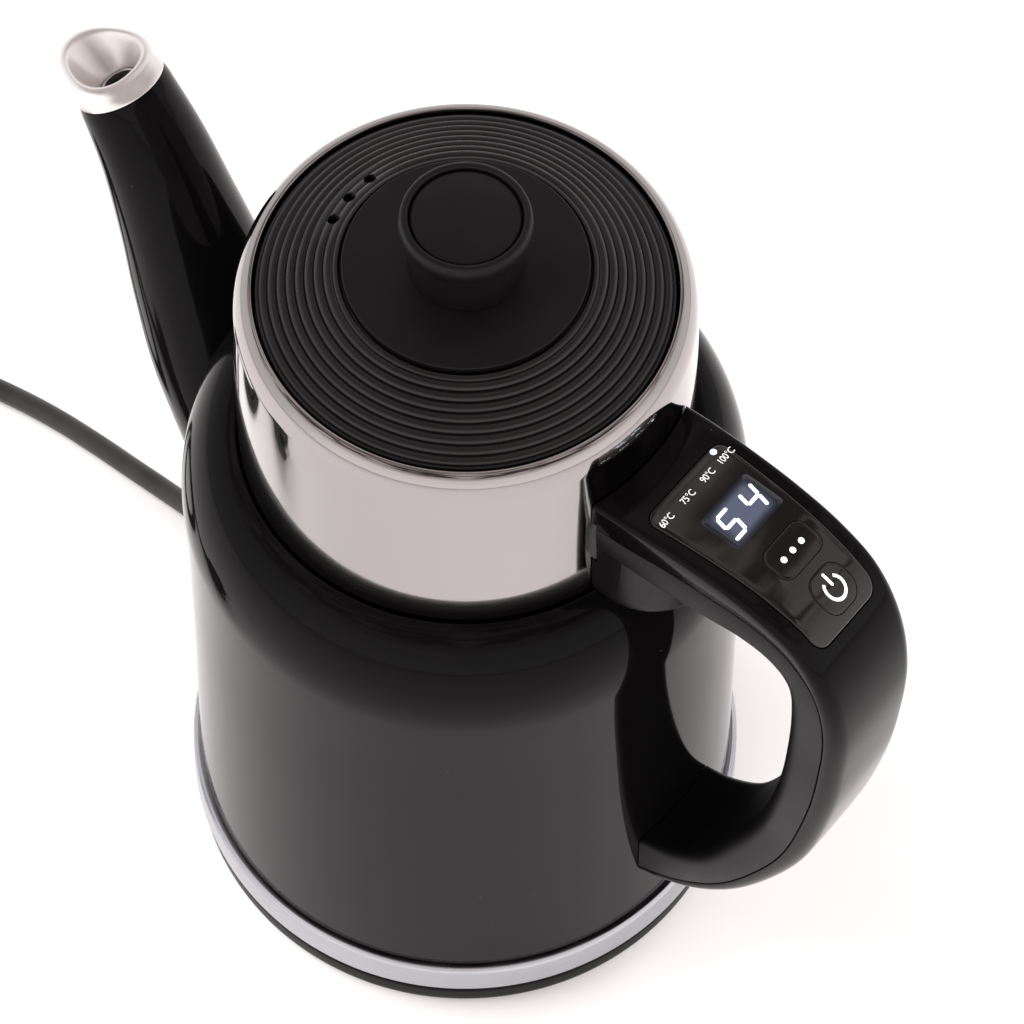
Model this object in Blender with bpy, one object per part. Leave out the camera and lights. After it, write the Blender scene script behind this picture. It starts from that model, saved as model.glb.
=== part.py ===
"""Gooseneck electric kettle with a lift-out lid, standing on its cordless power base.

Metres, +Z up. The origin is on the floor, on the axis that the kettle turns about.
The handle points along +X and the spout along -X.
"""
from math import atan2, cos, pi, radians, sin

import bmesh
import bpy
from mathutils import Matrix, Vector

MM = 0.001

# ---------------------------------------------------------------- driving dimensions, in millimetres
SEGMENTS = 36            # facets round a large outside piece
INNER_SEGMENTS = 28      # facets round a large inside piece
SMALL_SEGMENTS = 20      # facets round a small piece
SPOUT_SEGMENTS = 24      # facets round the spout and its lip
TUBE_SEGMENTS = 12       # facets round the steel tube in the spout
TUBE_FINENESS = 3        # bevel resolution of the lead and of the heating tube
GAP = 0.3                # clearance between pieces that touch

BASE_RADIUS = 77.2       # power base
BASE_BOTTOM = 1.5        # underside of the base, above the rubber feet
BASE_RIM_TOP = 9.9       # rim that the kettle stands on
BASE_MID_TOP = 13.5      # raised middle of the base
HEEL_RADIUS = 77.9       # satin band round the foot of the kettle
BODY_FOOT = 22.9         # lower edge of the black wall
BODY_RADIUS_LOW = 75.5   # outer radius at the foot
BODY_RADIUS_HIGH = 72.5  # outer radius where the shoulder starts
SHOULDER_START = 160.0   # height where the shoulder starts
SHOULDER_TOP = 189.7     # height where the shoulder meets the neck
NECK_RADIUS_LOW = 57.0   # polished neck, at its foot
NECK_RADIUS_HIGH = 55.4  # polished neck, under its rolled rim
WALL = 2.2               # thickness of the black wall
LID_EDGE = 251.0         # height of the lid's outer edge
LID_RADIUS = 49.9        # outer radius of the lid
DISC_RADIUS = 29.2       # matte disc in the middle of the lid
DISC_TOP = 261.6         # top of the disc
POT_RADIUS = 67.5        # steel pot, in the body
POT_NECK_RADIUS = 51.9   # steel pot, in the neck
POT_FLOOR = 40.0         # underside of the pot
POT_FLOOR_RADIUS = 60.0  # disc welded into the foot of the pot
POT_WALL_TOP = 152.0     # height where the pot starts to close in
POT_DOME_TOP = 180.0     # height where the pot's neck starts
POT_TOP = 246.9          # rim of the pot
STEEL = 0.8              # thickness of the pot

LID_TURN = 3.0           # degrees by which the vents stand off the spout's line
VENT_PITCH = 12.0        # degrees between vents
VENT_RADIUS = 34.6       # distance of the vents from the axis
RIB_COUNT = 8            # beads round the lid
RIB_HEIGHT = 0.7

CORD_DIAMETER = 6.4      # mains lead
CORD_EXIT_HEIGHT = 5.7   # height of the lead where it leaves the base
CORD_EXIT_SIDE = 8.4     # how far the lead leaves the base off the XZ plane
COIL_RADIUS = 36.0       # middle of the coil's turns


# ---------------------------------------------------------------- materials
def material(name, colour, roughness, metallic=0.0):
    """Principled material with one colour, roughness and metallic value."""
    made = bpy.data.materials.new(name)
    made.use_nodes = True
    shader = made.node_tree.nodes["Principled BSDF"]
    shader.inputs["Base Color"].default_value = (*colour, 1.0)
    shader.inputs["Roughness"].default_value = roughness
    shader.inputs["Metallic"].default_value = metallic
    made.diffuse_color = (*colour, 1.0)
    return made


# ---------------------------------------------------------------- mesh helpers
def clear_scene():
    """Remove every object of the open file."""
    for old in list(bpy.data.objects):
        bpy.data.objects.remove(old, do_unlink=True)


def finish_mesh(name, bm, look, crease=35.0):
    """Turn a bmesh into a named object with outward faces and smooth shading."""
    bmesh.ops.recalc_face_normals(bm, faces=bm.faces)
    mesh = bpy.data.meshes.new(name)
    bm.to_mesh(mesh)
    bm.free()
    obj = bpy.data.objects.new(name, mesh)
    bpy.context.scene.collection.objects.link(obj)
    if look is not None:
        mesh.materials.append(look)
    mesh.shade_smooth()
    mesh.set_sharp_from_angle(angle=radians(crease))
    return obj


def turned(name, outline, look, segments=SEGMENTS, centre=(0.0, 0.0)):
    """Spin an outline of (radius, height) points about a vertical line.

    An outline that starts on the axis also ends on it; any other outline is closed into a ring.
    """
    bm = bmesh.new()
    cx, cy = centre
    verts = [bm.verts.new(((cx + r) * MM, cy * MM, z * MM)) for r, z in outline]
    edges = [bm.edges.new(pair) for pair in zip(verts, verts[1:])]
    if outline[0][0] > 0.0:
        edges.append(bm.edges.new((verts[-1], verts[0])))
    bmesh.ops.spin(bm, geom=edges, axis=(0, 0, 1), cent=(cx * MM, cy * MM, 0),
                   steps=segments, angle=2 * pi)
    bmesh.ops.remove_doubles(bm, verts=bm.verts, dist=1e-6)
    bmesh.ops.dissolve_degenerate(bm, edges=bm.edges, dist=1e-7)
    return finish_mesh(name, bm, look)


def lofted(name, rings, look, hollow=False, crease=35.0):
    """Skin a row of rings. A solid gets end faces; a hollow one joins its last ring to its first."""
    bm = bmesh.new()
    loops = [[bm.verts.new(Vector(point) * MM) for point in ring] for ring in rings]
    count = len(loops[0])
    joins = list(zip(loops, loops[1:]))
    if hollow:
        joins.append((loops[-1], loops[0]))
    for first, second in joins:
        for i in range(count):
            j = (i + 1) % count
            bm.faces.new((first[i], first[j], second[j], second[i]))
    if not hollow:
        bm.faces.new(list(reversed(loops[0])))
        bm.faces.new(loops[-1])
    return finish_mesh(name, bm, look, crease)


def bar(name, start, end, radius, look, segments):
    """Solid round bar between two points."""
    a, b = Vector(start), Vector(end)
    turn = (b - a).to_track_quat("Z", "Y").to_matrix()
    rings = []
    for place in (a, b):
        circle = [Vector((radius * cos(t), radius * sin(t), 0)) for t in circle_angles(segments)]
        rings.append([place + turn @ p for p in circle])
    return lofted(name, rings, look)


def block(name, low, high, look):
    """Solid box between two corners."""
    (x0, y0, z0), (x1, y1, z1) = low, high
    rings = [[(x0, y0, z), (x1, y0, z), (x1, y1, z), (x0, y1, z)] for z in (z0, z1)]
    return lofted(name, rings, look)


def circle_angles(count):
    """Angles of a full turn, starting at zero."""
    return [2 * pi * i / count for i in range(count)]


def boolean(obj, tool, operation):
    """Add an exact Boolean to an object and hide its tool from the build."""
    step = obj.modifiers.new(operation.title(), "BOOLEAN")
    step.operation = operation
    step.solver = "EXACT"
    step.object = tool
    tool.hide_render = True
    tool.display_type = "WIRE"


def cut(obj, *tools):
    """Take the tools' volume away from an object."""
    for tool in tools:
        boolean(obj, tool, "DIFFERENCE")


def fuse(obj, *tools):
    """Join the tools' volume to an object."""
    for tool in tools:
        boolean(obj, tool, "UNION")


# ---------------------------------------------------------------- outlines and paths
def arc(centre, radii, start, end, steps):
    """Points on an elliptical arc, with angles in degrees from +X."""
    cx, cz = centre
    rx, rz = radii
    angles = [radians(start + (end - start) * i / steps) for i in range(steps + 1)]
    return [(cx + rx * cos(t), cz + rz * sin(t)) for t in angles]


def smooth(points, t):
    """Value at t (0 to 1) on a Catmull-Rom curve through equally spaced points."""
    spans = len(points) - 1
    place = min(max(t, 0.0), 1.0) * spans
    i = min(int(place), spans - 1)
    f = place - i
    p1, p2 = Vector(points[i]), Vector(points[i + 1])
    p0 = Vector(points[i - 1]) if i > 0 else 2 * p1 - p2
    p3 = Vector(points[i + 2]) if i + 2 <= spans else 2 * p2 - p1
    slope1, slope2 = (p2 - p0) / 2, (p3 - p1) / 2
    return ((2 * f**3 - 3 * f**2 + 1) * p1 + (f**3 - 2 * f**2 + f) * slope1
            + (3 * f**2 - 2 * f**3) * p2 + (f**3 - f**2) * slope2)


def body_outline(offset=0.0):
    """Outside of the black wall from its foot to the neck, moved out by an offset."""
    side = [(BODY_RADIUS_LOW + offset, BODY_FOOT), (74.1 + offset, 68.0), (73.1 + offset, 112.0)]
    centre = (NECK_RADIUS_LOW + GAP, SHOULDER_START)
    radii = (BODY_RADIUS_HIGH - NECK_RADIUS_LOW - GAP + offset, SHOULDER_TOP - SHOULDER_START + offset)
    return side + arc(centre, radii, 0, 90, 7)


def body_envelope(name, offset):
    """Solid of the body's outside, used to trim the handle and the spout where they meet it."""
    outline = [(0.0, BODY_FOOT - 10), (BODY_RADIUS_LOW + offset, BODY_FOOT - 10)] + body_outline(offset)
    outline += [(NECK_RADIUS_LOW - 4, SHOULDER_TOP + offset), (0.0, SHOULDER_TOP + offset)]
    return turned(name, outline, None)


def neck_envelope(name, offset):
    """Solid of the neck's outside, used to trim the handle."""
    return turned(name, [(0.0, SHOULDER_TOP - 20), (NECK_RADIUS_LOW + offset, SHOULDER_TOP - 20),
                         (NECK_RADIUS_LOW + offset, SHOULDER_TOP), (NECK_RADIUS_HIGH + offset, LID_EDGE),
                         (0.0, LID_EDGE)], None)


# ---------------------------------------------------------------- power base
SCREW_CIRCLE = 55.0      # distance of the base screws from the axis
PLATE_TOP = 3.9          # top of the plate that closes the underside
PLATE_RADIUS = 74.4
TOWER_RADIUS = 13.5      # connector tower


def base_spots(count, distance, first):
    """Places spread evenly round the axis."""
    turns = [radians(first) + t for t in circle_angles(count)]
    return [(distance * cos(t), distance * sin(t)) for t in turns]


def cord_notch(name, radius):
    """Tool that opens the rim for the strain relief, from below."""
    y0, z = CORD_EXIT_SIDE, CORD_EXIT_HEIGHT
    circle = [(radius * cos(t), radius * sin(t)) for t in circle_angles(SMALL_SEGMENTS)]
    upper = [(y0 + y, z + h) for y, h in circle if h >= -0.001]
    outline = upper + [(y0 - radius, 0.0), (y0 + radius, 0.0)]
    return lofted(name, [[(x, y, h) for y, h in outline] for x in (-BASE_RADIUS - 3, -64.0)], None)


def make_base(black, rubber, brass, steel):
    """Housing, closing plate, connector tower, contacts, feet and screws."""
    r = BASE_RADIUS
    housing = turned("base_housing", [
        (r, BASE_BOTTOM), (r, 8.4), (76.4, BASE_RIM_TOP - 0.2), (75.6, BASE_RIM_TOP), (71.2, BASE_RIM_TOP),
        (67.0, BASE_MID_TOP), (17.3, BASE_MID_TOP), (17.3, 11.5), (66.0, 11.5), (70.0, 7.9),
        (PLATE_RADIUS + GAP, 7.9), (PLATE_RADIUS + GAP, BASE_BOTTOM)], black)
    plate = turned("base_bottom_plate", [
        (0.0, PLATE_TOP), (PLATE_RADIUS, PLATE_TOP), (PLATE_RADIUS, BASE_BOTTOM), (0.0, BASE_BOTTOM)],
                   black, INNER_SEGMENTS)
    cut(housing, cord_notch("cut_rim_notch", 3.7))
    cut(plate, block("cut_plate_notch", (-80, CORD_EXIT_SIDE - 6.5, 0), (-62, CORD_EXIT_SIDE + 6.5, 9), None))
    for number, (x, y) in enumerate(base_spots(3, SCREW_CIRCLE, 60), 1):
        boss = bar(f"add_boss_{number}", (x, y, PLATE_TOP + GAP), (x, y, 12.4), 3.4, None, 16)
        fuse(housing, boss)
        cut(housing, bar(f"cut_boss_{number}", (x, y, 2.0), (x, y, 10.2), 1.8, None, 12))
        cut(plate, bar(f"cut_hole_{number}", (x, y, 0.0), (x, y, 5.0), 1.8, None, 12))
        cut(plate, bar(f"cut_head_{number}", (x, y, 0.0), (x, y, 3.1), 3.1, None, 16))
        turned(f"base_screw_{number}", [(0.0, 9.6), (1.5, 9.2), (1.5, 2.8), (2.8, 2.8), (2.8, 1.9),
                                        (0.0, 1.7)], steel, 12, (x, y))
    for number, (x, y) in enumerate(base_spots(3, 66.0, 0), 1):
        turned(f"base_foot_{number}", [(0.0, BASE_BOTTOM - GAP / 2), (5.5, BASE_BOTTOM - GAP / 2),
                                       (5.5, 0.4), (5.0, 0.0), (0.0, 0.0)], rubber, 16, (x, y))
    turned("base_connector", [
        (3.2, 6.0), (20.0, 6.0), (20.0, 11.2), (17.0, 11.2), (17.0, BASE_MID_TOP),
        (TOWER_RADIUS, BASE_MID_TOP), (TOWER_RADIUS, 23.2), (12.7, 24.0), (10.2, 24.0), (10.2, 12.0),
        (6.2, 12.0), (6.2, 24.0), (3.2, 24.0)], black, SMALL_SEGMENTS)
    turned("connector_pin", [(0.0, 22.6), (2.1, 22.2), (2.9, 21.0), (2.9, 5.0), (0.0, 5.0)], brass, 16)
    turned("connector_ring", [(8.9, 12.3), (9.9, 12.3), (9.9, 21.0), (8.9, 21.0)], brass, SMALL_SEGMENTS)


def make_shutter(black):
    """Safety shutter ring at the foot of the tower, carried round by the kettle."""
    turned("contact_shutter", [(13.9, 13.9), (16.8, 13.9), (16.8, 15.0), (15.6, 15.4), (13.9, 15.4)],
           black, SMALL_SEGMENTS)


# ---------------------------------------------------------------- mains lead
# Route of the lead from the boot to the coil, and from the coil to the plug, in millimetres.
CORD_ROUTE = [(-102.3, 9.4, 5.2), (-111.0, 9.7, 4.7), (-124.0, 9.8, 3.7), (-138.0, 9.4, 3.2),
              (-153.0, 8.8, 3.2), (-169.0, 7.5, 3.2), (-186.0, 4.7, 3.2), (-203.0, 0.7, 3.2),
              (-219.0, -4.1, 3.2), (-233.3, -11.2, 3.2)]
TAIL_ROUTE = [(-233.3, -98.4, 3.2), (-222.5, -104.6, 3.2), (-211.0, -110.1, 3.2), (-200.5, -114.4, 3.6),
              (-192.2, -117.9, 5.2)]
COIL_CENTRE = (-216.0, -55.0)
COIL_HALF_WIDTH = 6.8    # half the width of the coil's section
COIL_HEIGHT = 13.0
PLUG_LENGTH = 55.0
PLUG_RADIUS = 18.5
PLUG_TILT = 16.9         # degrees by which the plug's face looks up, resting on its rim and its boot
PLUG_TURN = -22.9        # degrees from +X that it points
PIN_SPREAD = 9.5         # distance of each pin from the plug's axis


def make_strain_relief(rubber):
    """Tapered rubber boot with a flange that is held behind the rim."""
    z = CORD_EXIT_HEIGHT
    wall = -BASE_RADIUS
    end = CORD_ROUTE[0]
    stations = [(-66.0, 3.3), (wall - GAP, 3.3), (wall - GAP, 4.0), (wall - 4.0, 3.9), (wall - 12.0, 3.7),
                (end[0] + GAP, 3.5)]
    rings = []
    for x, radius in stations:
        f = max(0.0, (wall - x) / (wall - end[0]))
        y = CORD_EXIT_SIDE + (end[1] - CORD_EXIT_SIDE) * f
        height = z + (end[2] - z) * f * f
        rings.append([(x, y + radius * cos(t), height + radius * sin(t))
                      for t in circle_angles(SMALL_SEGMENTS)])
    boot = lofted("strain_relief", rings, rubber)
    fuse(boot, block("add_flange", (-67.6, CORD_EXIT_SIDE - 5.5, PLATE_TOP + GAP),
                     (-65.6, CORD_EXIT_SIDE + 5.5, 7.4), None))


def make_tube(name, points, diameter, look):
    """Round cord along hand-picked points, read off a smooth curve every two to three diameters."""
    length = sum((Vector(b) - Vector(a)).length for a, b in zip(points, points[1:]))
    count = max(4, int(length / (2.4 * diameter)))
    curve = bpy.data.curves.new(name, "CURVE")
    curve.dimensions = "3D"
    curve.bevel_depth = diameter / 2 * MM
    curve.bevel_resolution = TUBE_FINENESS
    curve.use_fill_caps = True
    spline = curve.splines.new("POLY")
    spline.points.add(count)
    for i in range(count + 1):
        spline.points[i].co = (*(smooth(points, i / count) * MM), 1.0)
    curve.materials.append(look)
    obj = bpy.data.objects.new(name, curve)
    bpy.context.scene.collection.objects.link(obj)
    return obj


def plug_frame():
    """Matrix at the end of the plug's boot, with Z along the plug."""
    x, y, z = TAIL_ROUTE[-1]
    aim = Matrix.Rotation(radians(PLUG_TURN), 4, "Z") @ Matrix.Rotation(radians(90 - PLUG_TILT), 4, "Y")
    step = aim @ Vector((0, 0, 2 * GAP))
    return Matrix.Translation((Vector((x, y, z)) + step) * MM) @ aim


def make_plug(rubber, steel):
    """Round moulded two-pin plug lying on its side, with the tail of the lead in its boot."""
    frame, n, r = plug_frame(), PLUG_LENGTH, PLUG_RADIUS
    body = turned("plug_body", [
        (0.0, n), (r - 0.8, n), (r, n - 0.8), (r, n - 11.0), (r - 1.5, n - 17.0), (15.0, n - 24.0),
        (10.0, n - 29.0), (7.2, n - 32.0), (5.2, 14.0), (4.2, 0.0), (0.0, 0.0)], rubber, SMALL_SEGMENTS)
    body.matrix_world = frame
    for number, side in ((1, -1), (2, 1)):
        centre = (0.0, side * PIN_SPREAD)
        hole = turned(f"cut_pin_{number}", [(0.0, n + 3), (2.8, n + 3), (2.8, n - 8), (0.0, n - 8)],
                      None, 12, centre)
        hole.matrix_world = frame
        cut(body, hole)
        pin = turned(f"plug_pin_{number}", [(0.0, n + 19), (1.6, n + 18.6), (2.4, n + 17), (2.4, n - 7.6),
                                            (0.0, n - 7.6)], steel, 12, centre)
        pin.matrix_world = frame


def make_lead(rubber, steel):
    """Lead on the table, its coil, its tail and its plug."""
    make_tube("power_cord", CORD_ROUTE, CORD_DIAMETER, rubber)
    make_tube("cord_tail", TAIL_ROUTE, CORD_DIAMETER, rubber)
    r, w, h = COIL_RADIUS, COIL_HALF_WIDTH, COIL_HEIGHT
    turned("cord_coil", [(r - w, 2.0), (r - w + 2, 0.2), (r + w - 2, 0.2), (r + w, 2.0), (r + w, h - 2),
                         (r + w - 2, h), (r - w + 2, h), (r - w, h - 2)], rubber, INNER_SEGMENTS, COIL_CENTRE)
    make_plug(rubber, steel)


# ---------------------------------------------------------------- kettle body
def make_heel(black, satin):
    """Underside moulding and the satin band round it."""
    turned("bottom_cover", [
        (74.0, 10.2), (74.0, 22.4), (72.6, 22.4), (72.6, 28.0), (71.0, 28.0), (71.0, 17.4), (20.8, 17.4),
        (20.8, 15.4), (71.8, 15.4), (71.8, 10.2)], black, INNER_SEGMENTS)
    turned("heel_ring", [
        (74.6, 10.8), (77.5, 10.8), (HEEL_RADIUS, 11.3), (77.6, 21.2), (76.7, 22.2), (74.6, 22.2)], satin)


def make_heater(black, alloy, steel):
    """Connector socket, control block, heating tube and heating plate under the pot."""
    turned("kettle_socket", [
        (0.0, 27.0), (20.5, 27.0), (20.5, 15.7), (14.2, 15.7), (14.2, 24.7), (8.4, 24.7), (8.4, 14.6),
        (6.7, 14.6), (6.7, 24.7), (0.0, 24.7)], black, SMALL_SEGMENTS)
    turned("thermostat", [(0.0, 27.4), (17.0, 27.4), (17.0, 32.0), (13.0, 36.8), (0.0, 36.8)],
           black, SMALL_SEGMENTS)
    turned("element_plate", [(0.0, 37.2), (60.0, 37.2), (62.0, 38.2), (62.0, 39.7), (0.0, 39.7)],
           alloy, INNER_SEGMENTS)
    radius, height = 42.0, 33.0
    around = [(radius * cos(radians(a)), radius * sin(radians(a)), height) for a in range(20, 341, 20)]
    make_tube("heating_tube", around, 6.5, steel)


def make_pot(steel):
    """Steel pot in four welded pieces: floor, wall, dome and neck."""
    wall_in, neck_in, inside = POT_RADIUS - STEEL, POT_NECK_RADIUS - STEEL, POT_FLOOR + STEEL
    rim = POT_FLOOR_RADIUS + GAP
    turned("pot_floor", [(0.0, POT_FLOOR), (POT_FLOOR_RADIUS, POT_FLOOR), (POT_FLOOR_RADIUS, inside),
                         (0.0, inside)], steel, INNER_SEGMENTS)
    wall = turned("pot_wall", [
        (rim, POT_FLOOR), (POT_RADIUS - 1.8, POT_FLOOR + 1.8), (POT_RADIUS, POT_FLOOR + 6),
        (POT_RADIUS, POT_WALL_TOP), (wall_in, POT_WALL_TOP), (wall_in, POT_FLOOR + 6),
        (wall_in - 1.5, inside + 1.5), (rim, inside)], steel, INNER_SEGMENTS)
    foot = POT_WALL_TOP + GAP
    outer = arc((POT_NECK_RADIUS, foot), (POT_RADIUS - POT_NECK_RADIUS, 24.0), 0, 78, 4)
    inner = arc((neck_in, foot), (wall_in - neck_in, 24.0 - STEEL), 78, 0, 4)
    turned("pot_dome", outer + [(POT_NECK_RADIUS, POT_DOME_TOP), (neck_in, POT_DOME_TOP)] + inner,
           steel, INNER_SEGMENTS)
    turned("pot_neck", [(POT_NECK_RADIUS, POT_DOME_TOP + GAP), (POT_NECK_RADIUS, POT_TOP), (neck_in, POT_TOP),
                        (neck_in, POT_DOME_TOP + GAP)], steel, INNER_SEGMENTS)
    return wall


def make_body(gloss, chrome):
    """Black wall and polished neck."""
    centre = (NECK_RADIUS_LOW + GAP, SHOULDER_START)
    radii = (BODY_RADIUS_HIGH - NECK_RADIUS_LOW - GAP - WALL, SHOULDER_TOP - SHOULDER_START - WALL)
    inner = arc(centre, radii, 90, 0, 4)
    inner += [(73.1 - WALL, 112.0), (74.1 - WALL, 68.0), (BODY_RADIUS_LOW - WALL, BODY_FOOT)]
    shell = turned("body_shell", body_outline() + inner, gloss)
    neck = turned("neck_collar", [
        (NECK_RADIUS_LOW, SHOULDER_TOP), (56.5, 215.0), (55.9, 238.0), (NECK_RADIUS_HIGH, 244.0),
        (54.3, 248.2), (52.6, 251.0), (51.0, 252.0), (50.5, 251.6), (50.5, 247.6), (51.5, 247.6),
        (52.0, 249.0), (53.2, 246.5), (54.0, 240.0), (54.6, 215.0), (55.0, SHOULDER_TOP)], chrome)
    return shell, neck


# ---------------------------------------------------------------- spout
# Centre line of the spout in the XZ plane as (distance from the axis, height, outer radius).
SPOUT_LINE = [(60.0, 122.0, 28.6), (67.6, 130.4, 26.4), (80.0, 147.7, 22.4), (88.3, 169.2, 19.0),
              (94.7, 192.5, 16.2), (101.6, 215.3, 14.0), (110.6, 234.7, 12.1)]
SPOUT_WALL = 2.0
TUBE_TIP_RADIUS = 4.85   # steel tube at the mouth
TUBE_ROOT_RADIUS = 10.5  # steel tube where it leaves the pot
TUBE_WALL = 0.9
TUBE_ROOM = 1.2          # clearance round the tube where it passes the black wall
TIP_LEAN = 32.0          # degrees the spout's end face leans outward


def spout_ring(t, radius, count, lean):
    """Circle across the spout's centre line at t, square to it unless a lean is given."""
    here = smooth(SPOUT_LINE, t)
    ahead = smooth(SPOUT_LINE, min(1.0, t + 0.01)) - smooth(SPOUT_LINE, max(0.0, t - 0.01))
    angle = atan2(ahead.x, ahead.y) if lean is None else radians(lean)
    ring = []
    for a in circle_angles(count):
        across = radius * cos(a)
        ring.append((-(here.x + across * cos(angle)), radius * sin(a), here.y - across * sin(angle)))
    return ring


def spout_stations(count):
    """Evenly spaced places along the spout, the last one in the leaning end face."""
    return [(i / count, TIP_LEAN if i == count else None) for i in range(count + 1)]


def make_spout(gloss, steel, satin):
    """Black spout, the steel tube in it and the steel pouring lip on its end."""
    outside, inside = [], []
    for t, lean in spout_stations(10):
        radius = smooth(SPOUT_LINE, t).z
        outside.append(spout_ring(t, radius, SPOUT_SEGMENTS, lean))
        inside.append(spout_ring(t, radius - SPOUT_WALL, SPOUT_SEGMENTS, lean))
    shell = lofted("spout_shell", outside + inside[::-1], gloss, hollow=True)
    cut(shell, body_envelope("cut_spout_root", GAP))

    bore, skin, passage = [], [], []
    for t, lean in spout_stations(9):
        radius = TUBE_ROOT_RADIUS + (TUBE_TIP_RADIUS - TUBE_ROOT_RADIUS) * t
        skin.append(spout_ring(t, radius, TUBE_SEGMENTS, lean))
        bore.append(spout_ring(t, radius - TUBE_WALL, TUBE_SEGMENTS, lean))
        passage.append(spout_ring(t, radius + TUBE_ROOM, TUBE_SEGMENTS, lean))
    tube = lofted("spout_tube", skin + bore[::-1], steel, hollow=True)
    cut(tube, turned("cut_tube_root", [(0.0, 90.0), (POT_RADIUS + GAP, 90.0), (POT_RADIUS + GAP, 170.0),
                                       (0.0, 170.0)], None))
    mouth = lofted("cut_spout_mouth", bore[:5], None)
    clearance = lofted("cut_spout_passage", passage[:6], None)
    lip(satin)
    return mouth, clearance


def lip_ring(centre, radius, lean, beak=0.0):
    """Ring of the pouring lip, drawn out to a beak on its outer side."""
    u, z = centre
    a0 = radians(lean)
    ring = []
    for a in circle_angles(SPOUT_SEGMENTS):
        reach = radius * (1.0 + beak * max(0.0, cos(a)) ** 2)
        across = reach * cos(a)
        ring.append((-(u + across * cos(a0)), reach * sin(a), z - across * sin(a0)))
    return ring


def lip(satin):
    """Cast steel lip: a band at its foot, a flared beak at its rim and a funnel down to the tube."""
    foot = smooth(SPOUT_LINE, 1.0)
    step = Vector((sin(radians(TIP_LEAN)), cos(radians(TIP_LEAN)))) * GAP
    base = (foot.x + step.x, foot.y + step.y)
    rings = [
        lip_ring(base, 11.9, TIP_LEAN),
        lip_ring((base[0] + 0.9, base[1] + 1.3), 11.9, 27.0),
        lip_ring((114.7, 239.2), 11.5, 15.0, 0.06),
        lip_ring((115.7, 240.4), 11.2, 11.0, 0.12),
        lip_ring((115.6, 241.3), 10.3, 10.0, 0.10),
        lip_ring((115.2, 241.0), 8.9, 9.5, 0.07),
        lip_ring((113.7, 238.3), 6.9, 20.0),
        lip_ring((base[0] + 0.4, base[1] + 0.8), 5.3, TIP_LEAN),
        lip_ring(base, 5.3, TIP_LEAN)]
    lofted("spout_lip", rings, satin, hollow=True)


# ---------------------------------------------------------------- handle
# Stations down the handle in the XZ plane, each as
# (outer x, outer z, inner x, inner z, half width, seam from the inner face as a share, corner radius).
HANDLE_LINE = [
    (50.0, 230.6, 50.0, 211.6, 18.2, 0.50, 1.6), (62.0, 231.7, 64.0, 212.0, 18.1, 0.50, 1.6),
    (75.0, 232.3, 76.0, 212.2, 17.7, 0.56, 1.7), (88.0, 232.0, 87.5, 212.8, 17.2, 0.57, 1.9),
    (101.0, 229.8, 97.0, 213.2, 16.7, 0.60, 2.2), (113.2, 224.0, 105.0, 210.5, 16.2, 0.62, 2.8),
    (122.6, 210.8, 109.8, 203.5, 15.8, 0.68, 3.8), (127.4, 192.4, 111.3, 190.0, 15.4, 0.70, 4.6),
    (128.0, 170.0, 111.6, 170.0, 15.2, 0.69, 4.8), (126.6, 147.0, 110.6, 149.0, 15.0, 0.68, 4.8),
    (121.8, 117.0, 106.8, 123.0, 15.0, 0.68, 4.6), (113.5, 93.0, 99.8, 101.5, 15.0, 0.69, 4.2),
    (102.5, 71.5, 92.0, 82.5, 15.0, 0.69, 3.8), (89.0, 56.0, 82.5, 71.3, 15.0, 0.73, 3.0),
    (74.0, 47.3, 73.5, 66.0, 15.0, 0.84, 1.9), (64.0, 43.5, 64.0, 64.0, 15.0, 0.88, 1.6)]
HANDLE_STEPS = 28
ROOT_BOTTOM = 190.6      # underside of the block that stands over the shoulder
ROOT_HALF_WIDTH = 18.0
ROOT_CENTRE = 59.0       # distance of the block's rounded end from the axis
PANEL_START = 65.6       # distances from the axis where the control window starts and ends
PANEL_END = 116.0
PANEL_WIDTHS = (14.2, 11.2)
PANEL_CORNER = 3.2
PANEL_STEPS = 16
LENS_PROUD = 0.4
LENS_THICKNESS = 1.6
POCKET_DEPTH = 5.6


class Station:
    """Cross-section of the handle at a place along it."""

    def __init__(self, t):
        row = [smooth([(v, 0.0) for v in column], t).x for column in zip(*HANDLE_LINE)]
        outer, self.inner = Vector(row[0:2]), Vector(row[2:4])
        self.half_width, self.seam_share, self.corner = row[4:7]
        self.depth = (outer - self.inner).length
        self.out = (outer - self.inner).normalized()

    def point(self, across, height):
        """World point of a place across the section and above its inner face."""
        place = self.inner + self.out * height
        return (place.x, across, place.y)


def handle_places():
    """Stations at even steps along the handle."""
    return [Station(i / HANDLE_STEPS) for i in range(HANDLE_STEPS + 1)]


def rounded_side(half_width, edge, corner, inward):
    """Quarter round from the side of a section to its face, on the +Y side."""
    points = []
    for angle in (0.0, 30.0, 60.0, 90.0):
        a = radians(angle)
        points.append((half_width - corner * (1 - cos(a)), edge - inward * corner * (1 - sin(a))))
    return points


def mirrored(side):
    """Closed section from the points on its +Y side."""
    return side + [(-y, h) for y, h in reversed(side)]


def shell_ring(s):
    """Section of the gloss outer half."""
    seam = s.seam_share * s.depth + GAP / 2
    corner = min(s.corner, s.depth - seam - 0.4)
    side = [(s.half_width, seam)] + rounded_side(s.half_width, s.depth, corner, 1)
    return [s.point(y, h) for y, h in mirrored(side)]


def grip_ring(s):
    """Section of the matte inner half."""
    seam = s.seam_share * s.depth - GAP / 2
    side = [(s.half_width, seam)] + rounded_side(s.half_width, 0.0, s.corner, -1)
    return [s.point(y, h) for y, h in mirrored(side)]


def place_at(distance):
    """Place along the handle where its outer face reaches a distance from the axis, near the top."""
    low, high = 0.0, 0.5
    for _ in range(40):
        middle = (low + high) / 2
        s = Station(middle)
        if (s.inner + s.out * s.depth).x < distance:
            low = middle
        else:
            high = middle
    return low


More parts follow.
